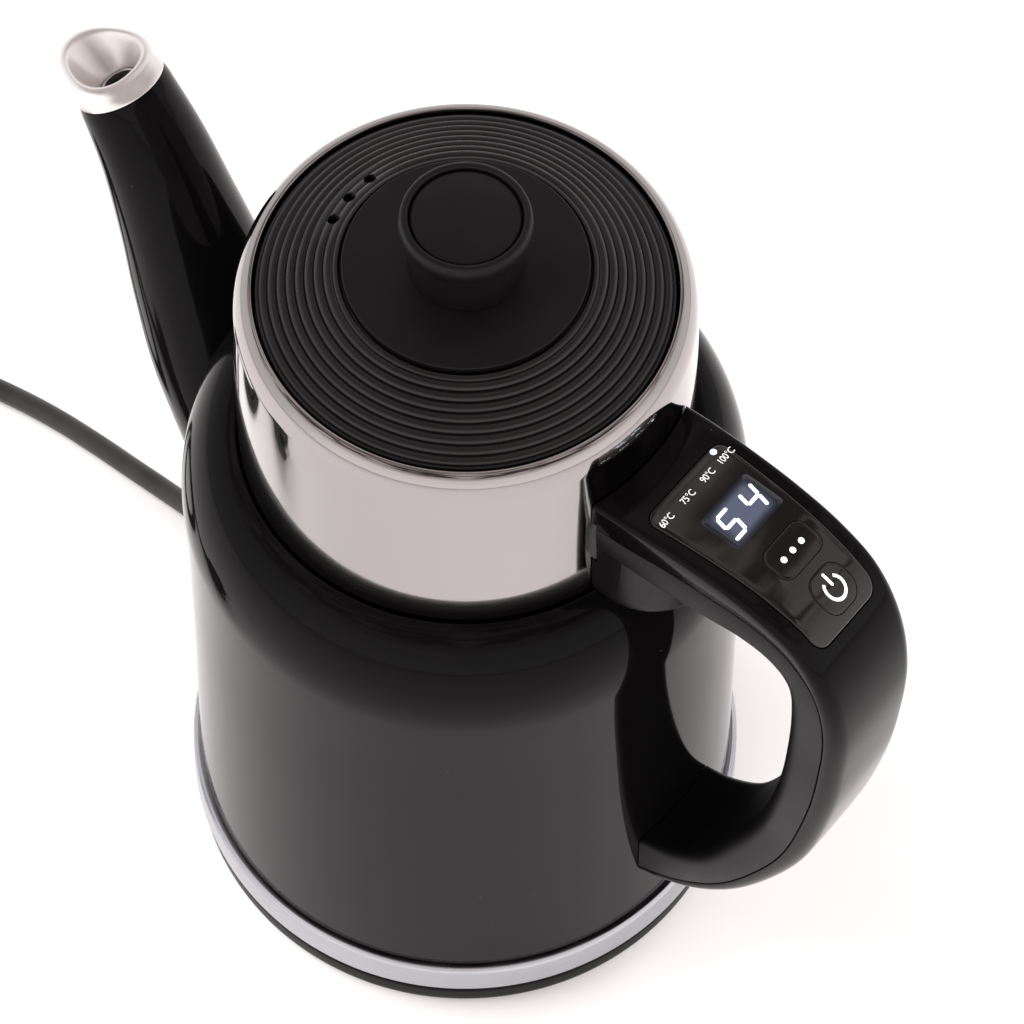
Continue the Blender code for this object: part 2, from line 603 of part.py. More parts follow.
def panel_half_width(distance, start, end, shrink):
    """Half width of the control window, rounded at its corners."""
    share = (distance - start) / (end - start)
    width = PANEL_WIDTHS[0] + (PANEL_WIDTHS[1] - PANEL_WIDTHS[0]) * share - shrink
    rest = min(distance - start, end - distance)
    if rest < PANEL_CORNER:
        width -= PANEL_CORNER - (max(0.0, PANEL_CORNER**2 - (PANEL_CORNER - rest) ** 2)) ** 0.5
    return width


def panel_plate(name, low, high, shrink, look):
    """Plate that follows the handle's outer face, between two heights from that face."""
    start, end = PANEL_START + shrink, PANEL_END - shrink
    rings = []
    for i in range(PANEL_STEPS + 1):
        distance = start + (end - start) * (1 - cos(pi * i / PANEL_STEPS)) / 2
        s = Station(place_at(distance))
        w = panel_half_width(distance, start, end, shrink)
        rings.append([s.point(w, s.depth + low), s.point(w, s.depth + high),
                      s.point(-w, s.depth + high), s.point(-w, s.depth + low)])
    return lofted(name, rings, look)


def panel_frame(distance):
    """Matrix at the handle's outer face: Z points out, Y across and X toward the kettle's foot."""
    s, ahead = Station(place_at(distance)), Station(place_at(distance + 1))
    here = Vector(s.point(0.0, s.depth))
    along = (Vector(ahead.point(0.0, ahead.depth)) - here).normalized()
    across = Vector((0, 1, 0))
    out = along.cross(across).normalized()
    turn = Matrix((along, across, out)).transposed().to_4x4()
    return Matrix.Translation(here * MM) @ turn


def pad_plate(name, distance, size, low, high, corner, look, count=4):
    """Rounded plate square to the handle's outer face, with its origin on that face."""
    half_x, half_y = size[0] / 2 - corner, size[1] / 2 - corner
    outline = []
    for number, (sx, sy) in enumerate(((1, 1), (-1, 1), (-1, -1), (1, -1))):
        for i in range(count + 1):
            a = radians(90 * number + 90 * i / count)
            outline.append((sx * half_x + corner * cos(a), sy * half_y + corner * sin(a)))
    obj = lofted(name, [[(x, y, z) for x, y in outline] for z in (low, high)], look)
    obj.matrix_world = panel_frame(distance)
    return obj


SELECT_AT = 97.0         # distance of the mode key from the axis
SELECT_SIZE = (9.0, 15.0, 3.0)
POWER_AT = 109.4         # distance of the power key from the axis
POWER_SIZE = (9.6, 11.0, 3.6)
KEY_FOOT = -3.2          # underside of the keys
DISPLAY_AT = 83.0
DISPLAY_SIZE = (14.0, 22.0)


def make_handle(gloss, soft, rubber):
    """Two-part handle trimmed to the neck and the body, with its gasket."""
    shell = lofted("handle_shell", [shell_ring(s) for s in handle_places()], gloss, crease=50)
    grip = lofted("handle_grip", [grip_ring(s) for s in handle_places()], soft, crease=50)
    plan = [(45.0, -ROOT_HALF_WIDTH), (45.0, ROOT_HALF_WIDTH)]
    plan += [(ROOT_CENTRE + ROOT_HALF_WIDTH * sin(radians(a)), ROOT_HALF_WIDTH * cos(radians(a)))
             for a in range(0, 181, 15)]
    levels = ((ROOT_BOTTOM, 0.86), (ROOT_BOTTOM + 2.0, 0.97), (ROOT_BOTTOM + 5.0, 1.0), (217.0, 1.0))
    root = lofted("add_root_block", [[(x, y * scale, z) for x, y in plan] for z, scale in levels], None)
    fuse(grip, root)
    pad_room = gasket("cut_gasket_room", 0.3, None)
    for part in (shell, grip):
        cut(part, neck_envelope(f"cut_neck_{part.name}", GAP), body_envelope(f"cut_body_{part.name}", GAP))
        cut(part, pad_room)
    cut(shell, panel_plate("cut_panel_pocket", -POCKET_DEPTH, 4.0, -GAP, None))
    gasket("handle_pad", 0.0, rubber)
    return grip


def neck_radius(height):
    """Outer radius of the polished neck at a height."""
    share = (height - SHOULDER_TOP) / (LID_EDGE - SHOULDER_TOP)
    return NECK_RADIUS_LOW + (NECK_RADIUS_HIGH - NECK_RADIUS_LOW) * share


def gasket(name, grow, look):
    """Rubber pad between the root block and the neck, curved with the neck."""
    reach = radians(19.4 + grow * 2)
    rings = []
    for i in range(9):
        a = -reach + 2 * reach * i / 8
        squeeze = 4.0 * (abs(a) / reach) ** 6
        low, high = 203.0 - grow + squeeze, 226.0 + grow - squeeze
        section = []
        for z, side in ((low, 0), (low, 1), (high, 1), (high, 0)):
            r = neck_radius(z) + (1.7 + grow if side else GAP - grow * 20)
            section.append((r * cos(a), r * sin(a), z))
        rings.append(section)
    return lofted(name, rings, look)


def make_panel(window, board, display):
    """Control window, circuit board, display and the two press keys in the handle's pocket."""
    lens = panel_plate("panel_lens", LENS_PROUD - LENS_THICKNESS, LENS_PROUD, 0.0, window)
    panel_plate("control_board", 0.4 - POCKET_DEPTH, 1.6 - POCKET_DEPTH, 1.0, board)
    pad_plate("display_module", DISPLAY_AT, DISPLAY_SIZE, -3.6, -1.7, 1.0, display, 2)
    for name, distance, (along, across, corner) in (("select_key", SELECT_AT, SELECT_SIZE),
                                                     ("power_key", POWER_AT, POWER_SIZE)):
        room = (along + 2 * GAP, across + 2 * GAP)
        cut(lens, pad_plate(f"cut_{name}", distance, room, -6.0, 6.0, corner + GAP, None))
        pad_plate(name, distance, (along, across), KEY_FOOT, LENS_PROUD, corner, window)


def make_fixings(shell, neck, grip, steel):
    """Two screws that hold the handle from inside the neck and the wall, and their holes."""
    for name, head, tip, wall in (("handle_screw_1", (52.3, 0, 200.0), (70.0, 0, 200.0), neck),
                                  ("handle_screw_2", (69.6, 0, 60.0), (80.0, 0, 60.0), shell)):
        start, end = Vector(head), Vector(tip)
        screw = bar(name, start, start + Vector((1.8, 0, 0)), 3.4, steel, 16)
        fuse(screw, bar(f"add_{name}", start + Vector((0.9, 0, 0)), end, 1.6, None, 16))
        hole = bar(f"cut_{name}", start, end + Vector((0.8, 0, 0)), 2.0, None, 16)
        cut(wall, hole)
        cut(grip, hole)


# ---------------------------------------------------------------- lid
def ribbed_slope(start, end, count, height):
    """Rounded beads up the slope between two points of a turned outline."""
    a, b = Vector(start), Vector(end)
    along = (b - a) / count
    up = Vector((-along.y, along.x)).normalized()
    if up.y < 0:
        up.negate()
    points = [tuple(a)]
    for i in range(count):
        for share, rise in ((0.5, 1.0), (1.0, 0.0)):
            points.append(tuple(a + along * (i + share) + up * height * rise))
    return points


def vent_tool(number):
    """Bar through the lid at one vent."""
    turn = radians(180.0 + LID_TURN + VENT_PITCH * (number - 2))
    x, y = VENT_RADIUS * cos(turn), VENT_RADIUS * sin(turn)
    return bar(f"cut_vent_{number}", (x, y, 240.0), (x, y, 270.0), 1.3, None, 12)


def make_lid(soft, black, rubber, steel):
    """Ribbed ring, centre disc, plug, seal, knob, its cap and its screw."""
    slope = ribbed_slope((49.2, LID_EDGE), (31.4, 259.6), RIB_COUNT, RIB_HEIGHT)
    ring = turned("lid_ring", [(47.6, 248.2), (LID_RADIUS, 248.2), (LID_RADIUS, LID_EDGE - 0.4)] + slope
                  + [(30.6, 260.9), (29.9, 260.6), (29.9, 258.4)], black)
    plug_top = [(2.5, 258.4), (29.3, 258.4), (29.6, 257.9), (47.0, 247.9), (47.0, 245.5), (45.0, 245.5),
                (45.0, 242.6), (47.0, 242.6), (47.0, 236.0), (44.8, 236.0), (44.8, 246.4), (28.6, 256.0),
                (2.5, 256.0)]
    plug = turned("lid_liner", plug_top, black, INNER_SEGMENTS)
    turned("lid_seal", [(45.3, 242.9), (48.4, 242.9), (50.1, 244.4), (48.6, 245.2), (45.3, 245.2)],
           rubber, INNER_SEGMENTS)
    turned("lid_disc", [(2.5, 258.8), (DISC_RADIUS, 258.8), (DISC_RADIUS, DISC_TOP - 0.4),
                        (DISC_RADIUS - 0.5, DISC_TOP), (2.5, DISC_TOP)], soft, INNER_SEGMENTS)
    for number in (1, 2, 3):
        tool = vent_tool(number)
        cut(ring, tool)
        cut(plug, tool)
    turned("knob", [
        (0.0, 279.2), (13.4, 279.2), (13.4, 280.6), (14.1, 281.5), (15.0, 281.0), (15.7, 278.9),
        (15.4, 276.4), (14.6, 274.7), (13.9, 274.2), (13.6, 271.0), (13.5, 265.0),
        (13.1, DISC_TOP + GAP), (2.2, DISC_TOP + GAP), (2.2, 273.0), (0.0, 273.0)], soft, SMALL_SEGMENTS)
    turned("knob_cap", [(0.0, 281.7), (9.0, 281.5), (12.6, 280.9), (13.1, 280.4), (13.1, 279.5),
                        (0.0, 279.5)], soft, SMALL_SEGMENTS)
    turned("knob_screw", [(0.0, 272.4), (1.8, 272.0), (1.8, 255.7), (4.2, 255.7), (4.0, 253.9), (0.0, 253.4)],
           steel, 16)


# ---------------------------------------------------------------- assembly
def build():
    """Make every piece of the kettle and its power base."""
    clear_scene()
    gloss = material("gloss_black", (0.006, 0.006, 0.007), 0.07)
    soft = material("soft_black", (0.016, 0.015, 0.016), 0.55)
    black = material("plain_black", (0.020, 0.018, 0.017), 0.38)
    rubber = material("rubber", (0.024, 0.022, 0.022), 0.65)
    chrome = material("polished_steel", (0.80, 0.80, 0.79), 0.06, 1.0)
    satin = material("satin_steel", (0.74, 0.73, 0.71), 0.26, 1.0)
    steel = material("plain_steel", (0.62, 0.61, 0.59), 0.34, 1.0)
    alloy = material("cast_alloy", (0.55, 0.55, 0.56), 0.45, 1.0)
    brass = material("brass", (0.70, 0.50, 0.22), 0.30, 1.0)
    lens = material("control_window", (0.010, 0.009, 0.009), 0.05)
    board = material("circuit_board", (0.02, 0.09, 0.04), 0.50)
    display = material("display", (0.05, 0.06, 0.10), 0.30)

    make_base(black, rubber, brass, steel)
    make_shutter(black)
    make_strain_relief(rubber)
    make_lead(rubber, steel)
    make_heel(black, satin)
    make_heater(black, alloy, steel)
    pot = make_pot(steel)
    shell, neck = make_body(gloss, chrome)
    mouth, clearance = make_spout(gloss, steel, satin)
    cut(pot, mouth)
    cut(shell, clearance)
    grip = make_handle(gloss, soft, rubber)
    make_panel(lens, board, display)
    make_fixings(shell, neck, grip, steel)
    make_lid(soft, black, rubber, steel)


build()
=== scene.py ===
"""Looks for an electric gooseneck kettle on its power base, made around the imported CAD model.

Metres in the scene; the shape helpers take millimetres. The handle points along +X, the spout along -X.
"""
from math import atan2, cos, exp, pi, radians, sin, sqrt

import bmesh
import bpy
import numpy as np
from mathutils import Matrix, Vector


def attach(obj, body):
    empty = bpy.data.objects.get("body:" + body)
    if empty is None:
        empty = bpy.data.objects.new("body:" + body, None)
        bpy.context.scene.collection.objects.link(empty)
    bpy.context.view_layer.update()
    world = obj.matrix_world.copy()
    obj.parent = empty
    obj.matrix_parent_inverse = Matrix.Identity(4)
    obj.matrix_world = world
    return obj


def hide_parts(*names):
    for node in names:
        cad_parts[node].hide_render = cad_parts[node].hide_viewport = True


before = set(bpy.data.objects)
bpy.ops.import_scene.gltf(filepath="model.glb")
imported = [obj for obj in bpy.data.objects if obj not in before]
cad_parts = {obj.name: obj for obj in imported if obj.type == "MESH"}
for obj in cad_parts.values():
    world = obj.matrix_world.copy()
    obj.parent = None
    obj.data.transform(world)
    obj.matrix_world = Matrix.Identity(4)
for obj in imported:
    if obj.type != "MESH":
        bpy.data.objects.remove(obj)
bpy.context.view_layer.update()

MM = 0.001
FINE = 180               # facets round a large piece
MEDIUM = 72              # facets round a small piece
SEAM = 0.14              # clearance drawn at a fine joint between two mouldings

# ---------- dimensions shared with the CAD, in mm
BASE_RADIUS, BASE_BOTTOM, BASE_TOP, BASE_MID = 77.2, 1.5, 9.9, 13.5
BODY_FOOT, SHOULDER_START, SHOULDER_TOP = 22.9, 160, 189.7
BODY_RADIUS_LOW, BODY_RADIUS_HIGH = 75.5, 72.5
NECK_RADIUS_LOW = 57
NECK_LINE = [(56.95, 191.5), (56.5, 215), (56.1, 230), (55.75, 238)]
LID_EDGE, LID_RADIUS = 251, 49.9
DISC_RADIUS, DISC_TOP = 29.2, 261.6
VENT_RADIUS, VENT_TURN, VENT_PITCH = 34.6, 3, 12
CORD_DIAMETER = 6.4
CORD_EXIT = (-77.4, 8.4, 5.7)
CORD_ROUTE = [(-102.3, 9.4, 5.2), (-111, 9.7, 4.7), (-124, 9.8, 3.7), (-138, 9.4, 3.2),
              (-153, 8.8, 3.2), (-169, 7.5, 3.2), (-186, 4.7, 3.2), (-203, 0.7, 3.2),
              (-219, -4.1, 3.2), (-233.3, -11.2, 3.2)]
TAIL_ROUTE = [(-233.3, -98.4, 3.2), (-222.5, -104.6, 3.2), (-211, -110.1, 3.2), (-200.5, -114.4, 3.6),
              (-192.2, -117.9, 5.2)]
COIL_CENTRE = (-216, -55)
TIE_AT = 182             # degrees round the coil where it is tied
PLUG_LENGTH, PLUG_RADIUS, PLUG_TILT, PLUG_TURN, PIN_SPREAD = 55, 18.5, 16.9, -22.9, 9.5


# ---------- materials
def shader(name, colour, roughness, metallic=0, **sockets):
    """Principled material; further sockets are set by their names."""
    made = bpy.data.materials.new(name)
    made.use_nodes = True
    inputs = made.node_tree.nodes["Principled BSDF"].inputs
    sockets |= {"Base_Color": (*colour, 1), "Roughness": roughness, "Metallic": metallic}
    for key, value in sockets.items():
        inputs[key.replace("_", " ")].default_value = value
    return made


def add(tree, kind, inputs, **settings):
    """New node of a kind; each input gets a value or the socket that feeds it."""
    node = tree.nodes.new("ShaderNode" + kind)
    for key, value in settings.items():
        setattr(node, key, value)
    for key, value in inputs.items():
        if isinstance(value, bpy.types.NodeSocket):
            tree.links.new(value, node.inputs[key])
        else:
            node.inputs[key].default_value = value
    return node


def feed(made, name, source):
    """Link a socket to an input of a material's shader."""
    made.node_tree.links.new(source, made.node_tree.nodes["Principled BSDF"].inputs[name])


def remap(tree, value, start, end, low=0, high=1, curve="SMOOTHSTEP"):
    """Socket that takes a value from one range to another."""
    return add(tree, "MapRange", {"Value": value, "From Min": start, "From Max": end, "To Min": low,
                                  "To Max": high}, interpolation_type=curve).outputs["Result"]


def noise(made, scale, detail=3, stretch=(1, 1, 1)):
    """Noise texture on the piece's own coordinates, in features per metre."""
    tree = made.node_tree
    spot = add(tree, "TexCoord", {}).outputs["Object"]
    fit = add(tree, "Mapping", {"Vector": spot, "Scale": stretch}).outputs["Vector"]
    return add(tree, "TexNoise", {"Vector": fit, "Scale": scale, "Detail": detail}).outputs["Fac"]


def vary_roughness(made, source, low, high):
    """Roughness that follows a texture."""
    feed(made, "Roughness", remap(made.node_tree, source, 0.35, 0.65, low, high, "LINEAR"))


def vary_colour(made, source, dark, light, start=0.35, end=0.65):
    """Base colour mixed between two by a texture."""
    share = remap(made.node_tree, source, start, end, curve="LINEAR")
    colours = {"Factor": share, "A": (*dark, 1), "B": (*light, 1)}
    feed(made, "Base Color", add(made.node_tree, "Mix", colours, data_type="RGBA").outputs["Result"])


def bump(made, source, strength, depth):
    """Fine relief of a given depth in millimetres."""
    node = add(made.node_tree, "Bump", {"Height": source, "Strength": strength, "Distance": depth * MM})
    feed(made, "Normal", node.outputs["Normal"])


def specks(made, scale, amount, light):
    """Sparse grains of dust: small spots of a lighter colour."""
    tree = made.node_tree
    spot = add(tree, "TexCoord", {}).outputs["Object"]
    cells = add(tree, "TexVoronoi", {"Vector": spot, "Scale": scale})
    own = tuple(tree.nodes["Principled BSDF"].inputs["Base Color"].default_value)[:3]
    vary_colour(made, cells.outputs["Distance"], light, own, amount * 0.6, amount)


def gloss_black():
    """Lacquered black with faint smears and a few grains of dust."""
    made = shader("gloss_black", (0.003, 0.0027, 0.0029), 0.05, IOR=1.148)
    vary_roughness(made, noise(made, 22, 4), 0.035, 0.085)
    bump(made, noise(made, 240, 1), 0.05, 0.02)
    specks(made, 95, 0.022, (0.1, 0.09, 0.09))
    return made


def shade(colour, factor):
    """Darker or lighter version of a colour."""
    return tuple(c * factor for c in colour)


def moulded_black(name, colour, roughness, grain=0.05, level=0.25):
    """Moulded plastic with a fine spark-eroded grain."""
    made = shader(name, colour, roughness, Specular_IOR_Level=level)
    vary_colour(made, noise(made, 60, 3), shade(colour, 0.85), shade(colour, 1.2))
    vary_roughness(made, noise(made, 35, 3), roughness * 0.9, roughness * 1.12)
    bump(made, noise(made, 2600, 2), 0.35, grain)
    return made


def rubber(name, colour, roughness):
    """Dull rubber or PVC with a slight bloom."""
    made = shader(name, colour, roughness)
    vary_colour(made, noise(made, 90, 4), shade(colour, 0.8), shade(colour, 1.35))
    bump(made, noise(made, 1500, 3), 0.3, 0.04)
    return made


def polished_steel():
    """Mirror-polished steel with faint wiping marks."""
    made = shader("polished_steel", (0.345, 0.322, 0.322), 0.045, 1)
    vary_roughness(made, noise(made, 30, 4, (1, 1, 0.3)), 0.03, 0.075)
    bump(made, noise(made, 45, 2), 0.04, 0.05)
    return made


def brushed_steel(name, colour, low, high, stretch):
    """Steel with fine parallel grinding lines."""
    made = shader(name, colour, (low + high) / 2, 1)
    lines = noise(made, 700, 3, stretch)
    vary_roughness(made, lines, low, high)
    bump(made, lines, 0.12, 0.02)
    vary_colour(made, noise(made, 40, 3), shade(colour, 0.93), colour)
    return made


def cast_steel():
    """Bead-blasted and lightly polished casting: bright, soft reflections and a very fine grain."""
    made = shader("satin_steel", (0.76, 0.72, 0.71), 0.34, 0.92)
    vary_roughness(made, noise(made, 120, 3), 0.32, 0.37)
    bump(made, noise(made, 2400, 1), 0.05, 0.01)
    return made


def glowing(name, colour, strength):
    """Marks that glow by emission: lit display figures, and white print with a painted glow."""
    made = shader(name, colour, 0.4, Emission_Color=(*colour, 1), Emission_Strength=strength)
    vary_roughness(made, noise(made, 300, 2), 0.35, 0.5)
    return made


LOOK = {
    "gloss": gloss_black(),
    "soft": moulded_black("soft_touch_black", (0.003, 0.0026, 0.0028), 0.46, 0.05, 0.18),
    "grip": moulded_black("grip_black", (0.003, 0.0027, 0.0028), 0.4, 0.05, 0.12),
    "lid": moulded_black("lid_plastic", (0.0035, 0.0031, 0.0034), 0.27, 0.02, 0.36),
    "plain": moulded_black("base_plastic", (0.0055, 0.0045, 0.0045), 0.34, 0.05, 0.05),
    "inner": moulded_black("inner_plastic", (0.03, 0.028, 0.027), 0.42),
    "window": shader("smoked_window", (0.006, 0.0052, 0.005), 0.05, Specular_IOR_Level=0.45),
    "cord": rubber("lead_sheath", (0.02, 0.018, 0.018), 0.42),
    "rubber": rubber("black_rubber", (0.018, 0.017, 0.017), 0.62),
    "seal": rubber("silicone_seal", (0.12, 0.12, 0.125), 0.45),
    "chrome": polished_steel(),
    "satin": cast_steel(),
    "band": brushed_steel("band_steel", (0.43, 0.435, 0.47), 0.16, 0.28, (0.12, 0.12, 6)),
    "steel": brushed_steel("plain_steel", (0.66, 0.65, 0.63), 0.24, 0.42, (0.2, 0.2, 3)),
    "alloy": brushed_steel("cast_alloy", (0.56, 0.56, 0.57), 0.4, 0.6, (1, 1, 1)),
    "brass": brushed_steel("brass", (0.78, 0.58, 0.27), 0.18, 0.32, (1, 1, 3)),
    "board": moulded_black("circuit_board", (0.02, 0.1, 0.045), 0.45),
    # white print with emission added: a painted glow
    "mark": glowing("white_print_painted_glow", (0.9, 0.91, 0.93), 0.22),
    "digit": glowing("lit_digit", (0.74, 0.82, 1), 0.62),
}
vary_roughness(LOOK["window"], noise(LOOK["window"], 40, 4), 0.035, 0.08)


# ---------- mesh helpers
def place(piece, body, *nodes, slot):
    """Let a piece ride on a body and stand for CAD nodes; the slot argument is not used."""
    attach(piece, body)
    if nodes:
        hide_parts(*nodes)
    return piece


def new_object(name, data):
    """Object of some data, put in the scene."""
    made = bpy.data.objects.new(name, data)
    bpy.context.scene.collection.objects.link(made)
    return made


def finish_mesh(name, bm, look, crease=40):
    """Object from a bmesh, with outward faces and smooth shading."""
    bmesh.ops.recalc_face_normals(bm, faces=bm.faces)
    mesh = bpy.data.meshes.new(name)
    bm.to_mesh(mesh)
    bm.free()
    piece = new_object(name, mesh)
    if look is not None:
        mesh.materials.append(LOOK[look])
    mesh.shade_smooth()
    mesh.set_sharp_from_angle(angle=radians(crease))
    return piece


def rounded(corners, steps=5):
    """Outline from corners given as (r, z) or (r, z, radius), with the radii drawn as curves."""
    points, count = [], len(corners)
    for i, corner in enumerate(corners):
        here, radius = Vector(corner[:2]), corner[2] if len(corner) > 2 else 0
        if radius <= 0:
            points.append(tuple(here))
            continue
        before, after = Vector(corners[i - 1][:2]) - here, Vector(corners[(i + 1) % count][:2]) - here
        reach = min(radius, before.length * 0.48, after.length * 0.48)
        a, b = here + before.normalized() * reach, here + after.normalized() * reach
        for s in range(steps + 1):
            t = s / steps
            points.append(tuple(a * (1 - t) ** 2 + here * 2 * t * (1 - t) + b * t * t))
    return points


def turned(name, outline, look, segments=FINE, centre=(0, 0), crease=40):
    """Spin a rounded outline of (radius, height) corners about a vertical line."""
    bm = bmesh.new()
    cx, cy = centre
    verts = [bm.verts.new(((cx + r) * MM, cy * MM, z * MM)) for r, z in rounded(outline)]
    edges = [bm.edges.new(pair) for pair in zip(verts, verts[1:])]
    if outline[0][0] > 0:
        edges.append(bm.edges.new((verts[-1], verts[0])))
    bmesh.ops.spin(bm, geom=edges, axis=(0, 0, 1), cent=(cx * MM, cy * MM, 0), steps=segments, angle=2 * pi)
    bmesh.ops.remove_doubles(bm, verts=bm.verts, dist=1e-6)
    return finish_mesh(name, bm, look, crease)


def skin(bm, loops):
    """Faces between each closed loop of vertices and the next."""
    for first, second in zip(loops, loops[1:]):
        for corners in zip(first, first[1:] + first[:1], second[1:] + second[:1], second):
            bm.faces.new(corners)


def lofted(name, rings, look, hollow=False, crease=40):
    """Skin a row of rings in millimetres; a hollow piece joins its last ring to its first."""
    bm = bmesh.new()
    loops = [[bm.verts.new(Vector(point) * MM) for point in ring] for ring in rings]
    skin(bm, loops + loops[:1] if hollow else loops)
    if not hollow:
        bm.faces.new(list(reversed(loops[0])))
        bm.faces.new(loops[-1])
    return finish_mesh(name, bm, look, crease)


def fitted(name, outline, look, body, node, slot, segments=FINE, centre=(0, 0), crease=40):
    """Turned piece that rides on a body and stands for one CAD node."""
    return place(turned(name, outline, look, segments, centre, crease), body, node, slot=slot)


def bar(name, start, end, radius, look, segments=MEDIUM, end_radius=None):
    """Round bar or cone between two points."""
    a, b = Vector(start), Vector(end)
    turn = (b - a).to_track_quat("Z", "Y").to_matrix()
    rings = [[spot + turn @ Vector((r * cos(t), r * sin(t), 0)) for t in full_turn(segments)]
             for spot, r in ((a, radius), (b, radius if end_radius is None else end_radius))]
    return lofted(name, rings, look)


def full_turn(count):
    """Angles of a full turn, starting at zero."""
    return [2 * pi * i / count for i in range(count)]


def evaluated(piece):
    """New mesh of a piece as its modifiers or its text leave it."""
    bpy.context.view_layer.update()
    return bpy.data.meshes.new_from_object(piece.evaluated_get(bpy.context.evaluated_depsgraph_get()))


def settle(piece, operation, tools):
    """Apply a boolean of a piece with its tools, and remove the tools."""
    for tool in tools:
        step = piece.modifiers.new("step", "BOOLEAN")
        step.operation, step.solver, step.object = operation, "EXACT", tool
    mesh = evaluated(piece)
    piece.modifiers.clear()
    piece.data = mesh
    mesh.shade_smooth()
    mesh.set_sharp_from_angle(angle=radians(40))
    for tool in tools:
        bpy.data.objects.remove(tool, do_unlink=True)


def cut(piece, *tools):
    """Take tools away from a piece for good."""
    settle(piece, "DIFFERENCE", tools)


def smooth(points, t):
    """Value at t (0 to 1) on a Catmull-Rom curve through equally spaced points."""
    spans = len(points) - 1
    spot = min(max(t, 0), 1) * spans
    i = min(int(spot), spans - 1)
    f = spot - i
    p1, p2 = Vector(points[i]), Vector(points[i + 1])
    p0 = Vector(points[i - 1]) if i > 0 else 2 * p1 - p2
    p3 = Vector(points[i + 2]) if i + 2 <= spans else 2 * p2 - p1
    slope1, slope2 = (p2 - p0) / 2, (p3 - p1) / 2
    return ((2 * f**3 - 3 * f**2 + 1) * p1 + (f**3 - 2 * f**2 + f) * slope1
            + (3 * f**2 - 2 * f**3) * p2 + (f**3 - f**2) * slope2)


def arc(centre, radii, start, end, steps):
    """Points on an elliptical arc, with angles in degrees from +X."""
    cx, cz = centre
    rx, rz = radii
    angles = [radians(start + (end - start) * i / steps) for i in range(steps + 1)]
    return [(cx + rx * cos(t), cz + rz * sin(t)) for t in angles]


# ---------- camera, floor and light
def stage():
    """Camera, pale floor, soft lights and surroundings."""
    right, down = Vector((0.77639, 0.63016, 0.01054)), Vector((0.55218, -0.67205, -0.49341))
    ahead = Vector((-0.30384, 0.3889, -0.86973))
    view = Matrix((right, -down, -ahead)).transposed().to_4x4()
    view.translation = Vector((324.75, -396.1, 1046.22)) * MM
    lens = bpy.data.cameras.new("camera")
    lens.lens, lens.sensor_width, lens.clip_start = 140.6, 36, 0.02
    camera = new_object("camera", lens)
    camera.matrix_world = view
    bpy.context.scene.camera = camera

    bm = bmesh.new()
    bmesh.ops.create_circle(bm, cap_ends=True, segments=96, radius=3)
    floor = finish_mesh("floor", bm, None)
    floor.data.materials.append(shader("pale_floor", (0.93, 0.915, 0.92), 0.6, Specular_IOR_Level=0.2))

    for name, spot, size, power in (("key_light", (-0.9, -0.5, 1.4), (1.1, 1.3), 24),
                                    ("back_light", (0.5, 1.3, 1.1), (1.6, 1), 15),
                                    ("fill_light", (1.2, -0.9, 1.3), (1.2, 1.2), 14)):
        lamp = bpy.data.lights.new(name, "AREA")
        lamp.shape, lamp.energy, lamp.color = "RECTANGLE", power, (1, 0.985, 0.985)
        lamp.size, lamp.size_y = size
        rig = new_object(name, lamp)
        rig.location = spot
        rig.rotation_euler = (Vector((0, 0, 0.1)) - Vector(spot)).to_track_quat("-Z", "Y").to_euler()
        rig.visible_glossy = False
    surroundings()
    bpy.context.scene.view_settings.view_transform = "Standard"


def surroundings():
    """World like a studio: bright low down and to the far side, dim, warm and patchy overhead."""
    world = bpy.data.worlds.new("studio")
    bpy.context.scene.world = world
    world.use_nodes = True
    tree = world.node_tree
    spot = add(tree, "TexCoord", {}).outputs["Generated"]
    height = add(tree, "SeparateXYZ", {"Vector": spot}).outputs["Z"]

    def tones(*stops):
        """Colours by the height of the direction looked in."""
        node = add(tree, "ValToRGB", {"Fac": height})
        colours = node.color_ramp
        colours.interpolation = "EASE"
        colours.elements.remove(colours.elements[1])
        for number, (at, colour) in enumerate(stops):
            element = colours.elements.new(at) if number else colours.elements[0]
            element.position, element.color = at, (*colour, 1)
        return node.outputs["Color"]

    far = tones((0, (1, 0.985, 0.985)), (0.5, (0.95, 0.93, 0.93)), (0.78, (0.62, 0.56, 0.54)),
                (1, (0.42, 0.37, 0.35)))
    near = tones((0, (1, 0.965, 0.95)), (0.4, (0.9, 0.86, 0.84)), (0.62, (0.55, 0.5, 0.48)),
                 (1, (0.42, 0.37, 0.35)))
    toward = add(tree, "VectorMath", {0: spot, 1: (0.72, -0.69, 0)}, operation="DOT_PRODUCT")
    share = remap(tree, toward.outputs["Value"], 0, 0.55)
    side = add(tree, "Mix", {"Factor": share, "A": far, "B": near}, data_type="RGBA")

    patches = add(tree, "TexNoise", {"Vector": spot, "Scale": 5.5, "Detail": 4, "Distortion": 0.6})
    overhead = remap(tree, patches.outputs["Fac"], 0.4, 0.62, 0.15, 1.9)
    low_down = remap(tree, share, 0, 1, 1.15, 1.7, "LINEAR")
    level = add(tree, "Mix", {"Factor": remap(tree, height, 0.55, 0.8), "A": low_down, "B": overhead})
    sky = tree.nodes["Background"].inputs
    tree.links.new(side.outputs["Result"], sky["Color"])
    tree.links.new(level.outputs["Result"], sky["Strength"])


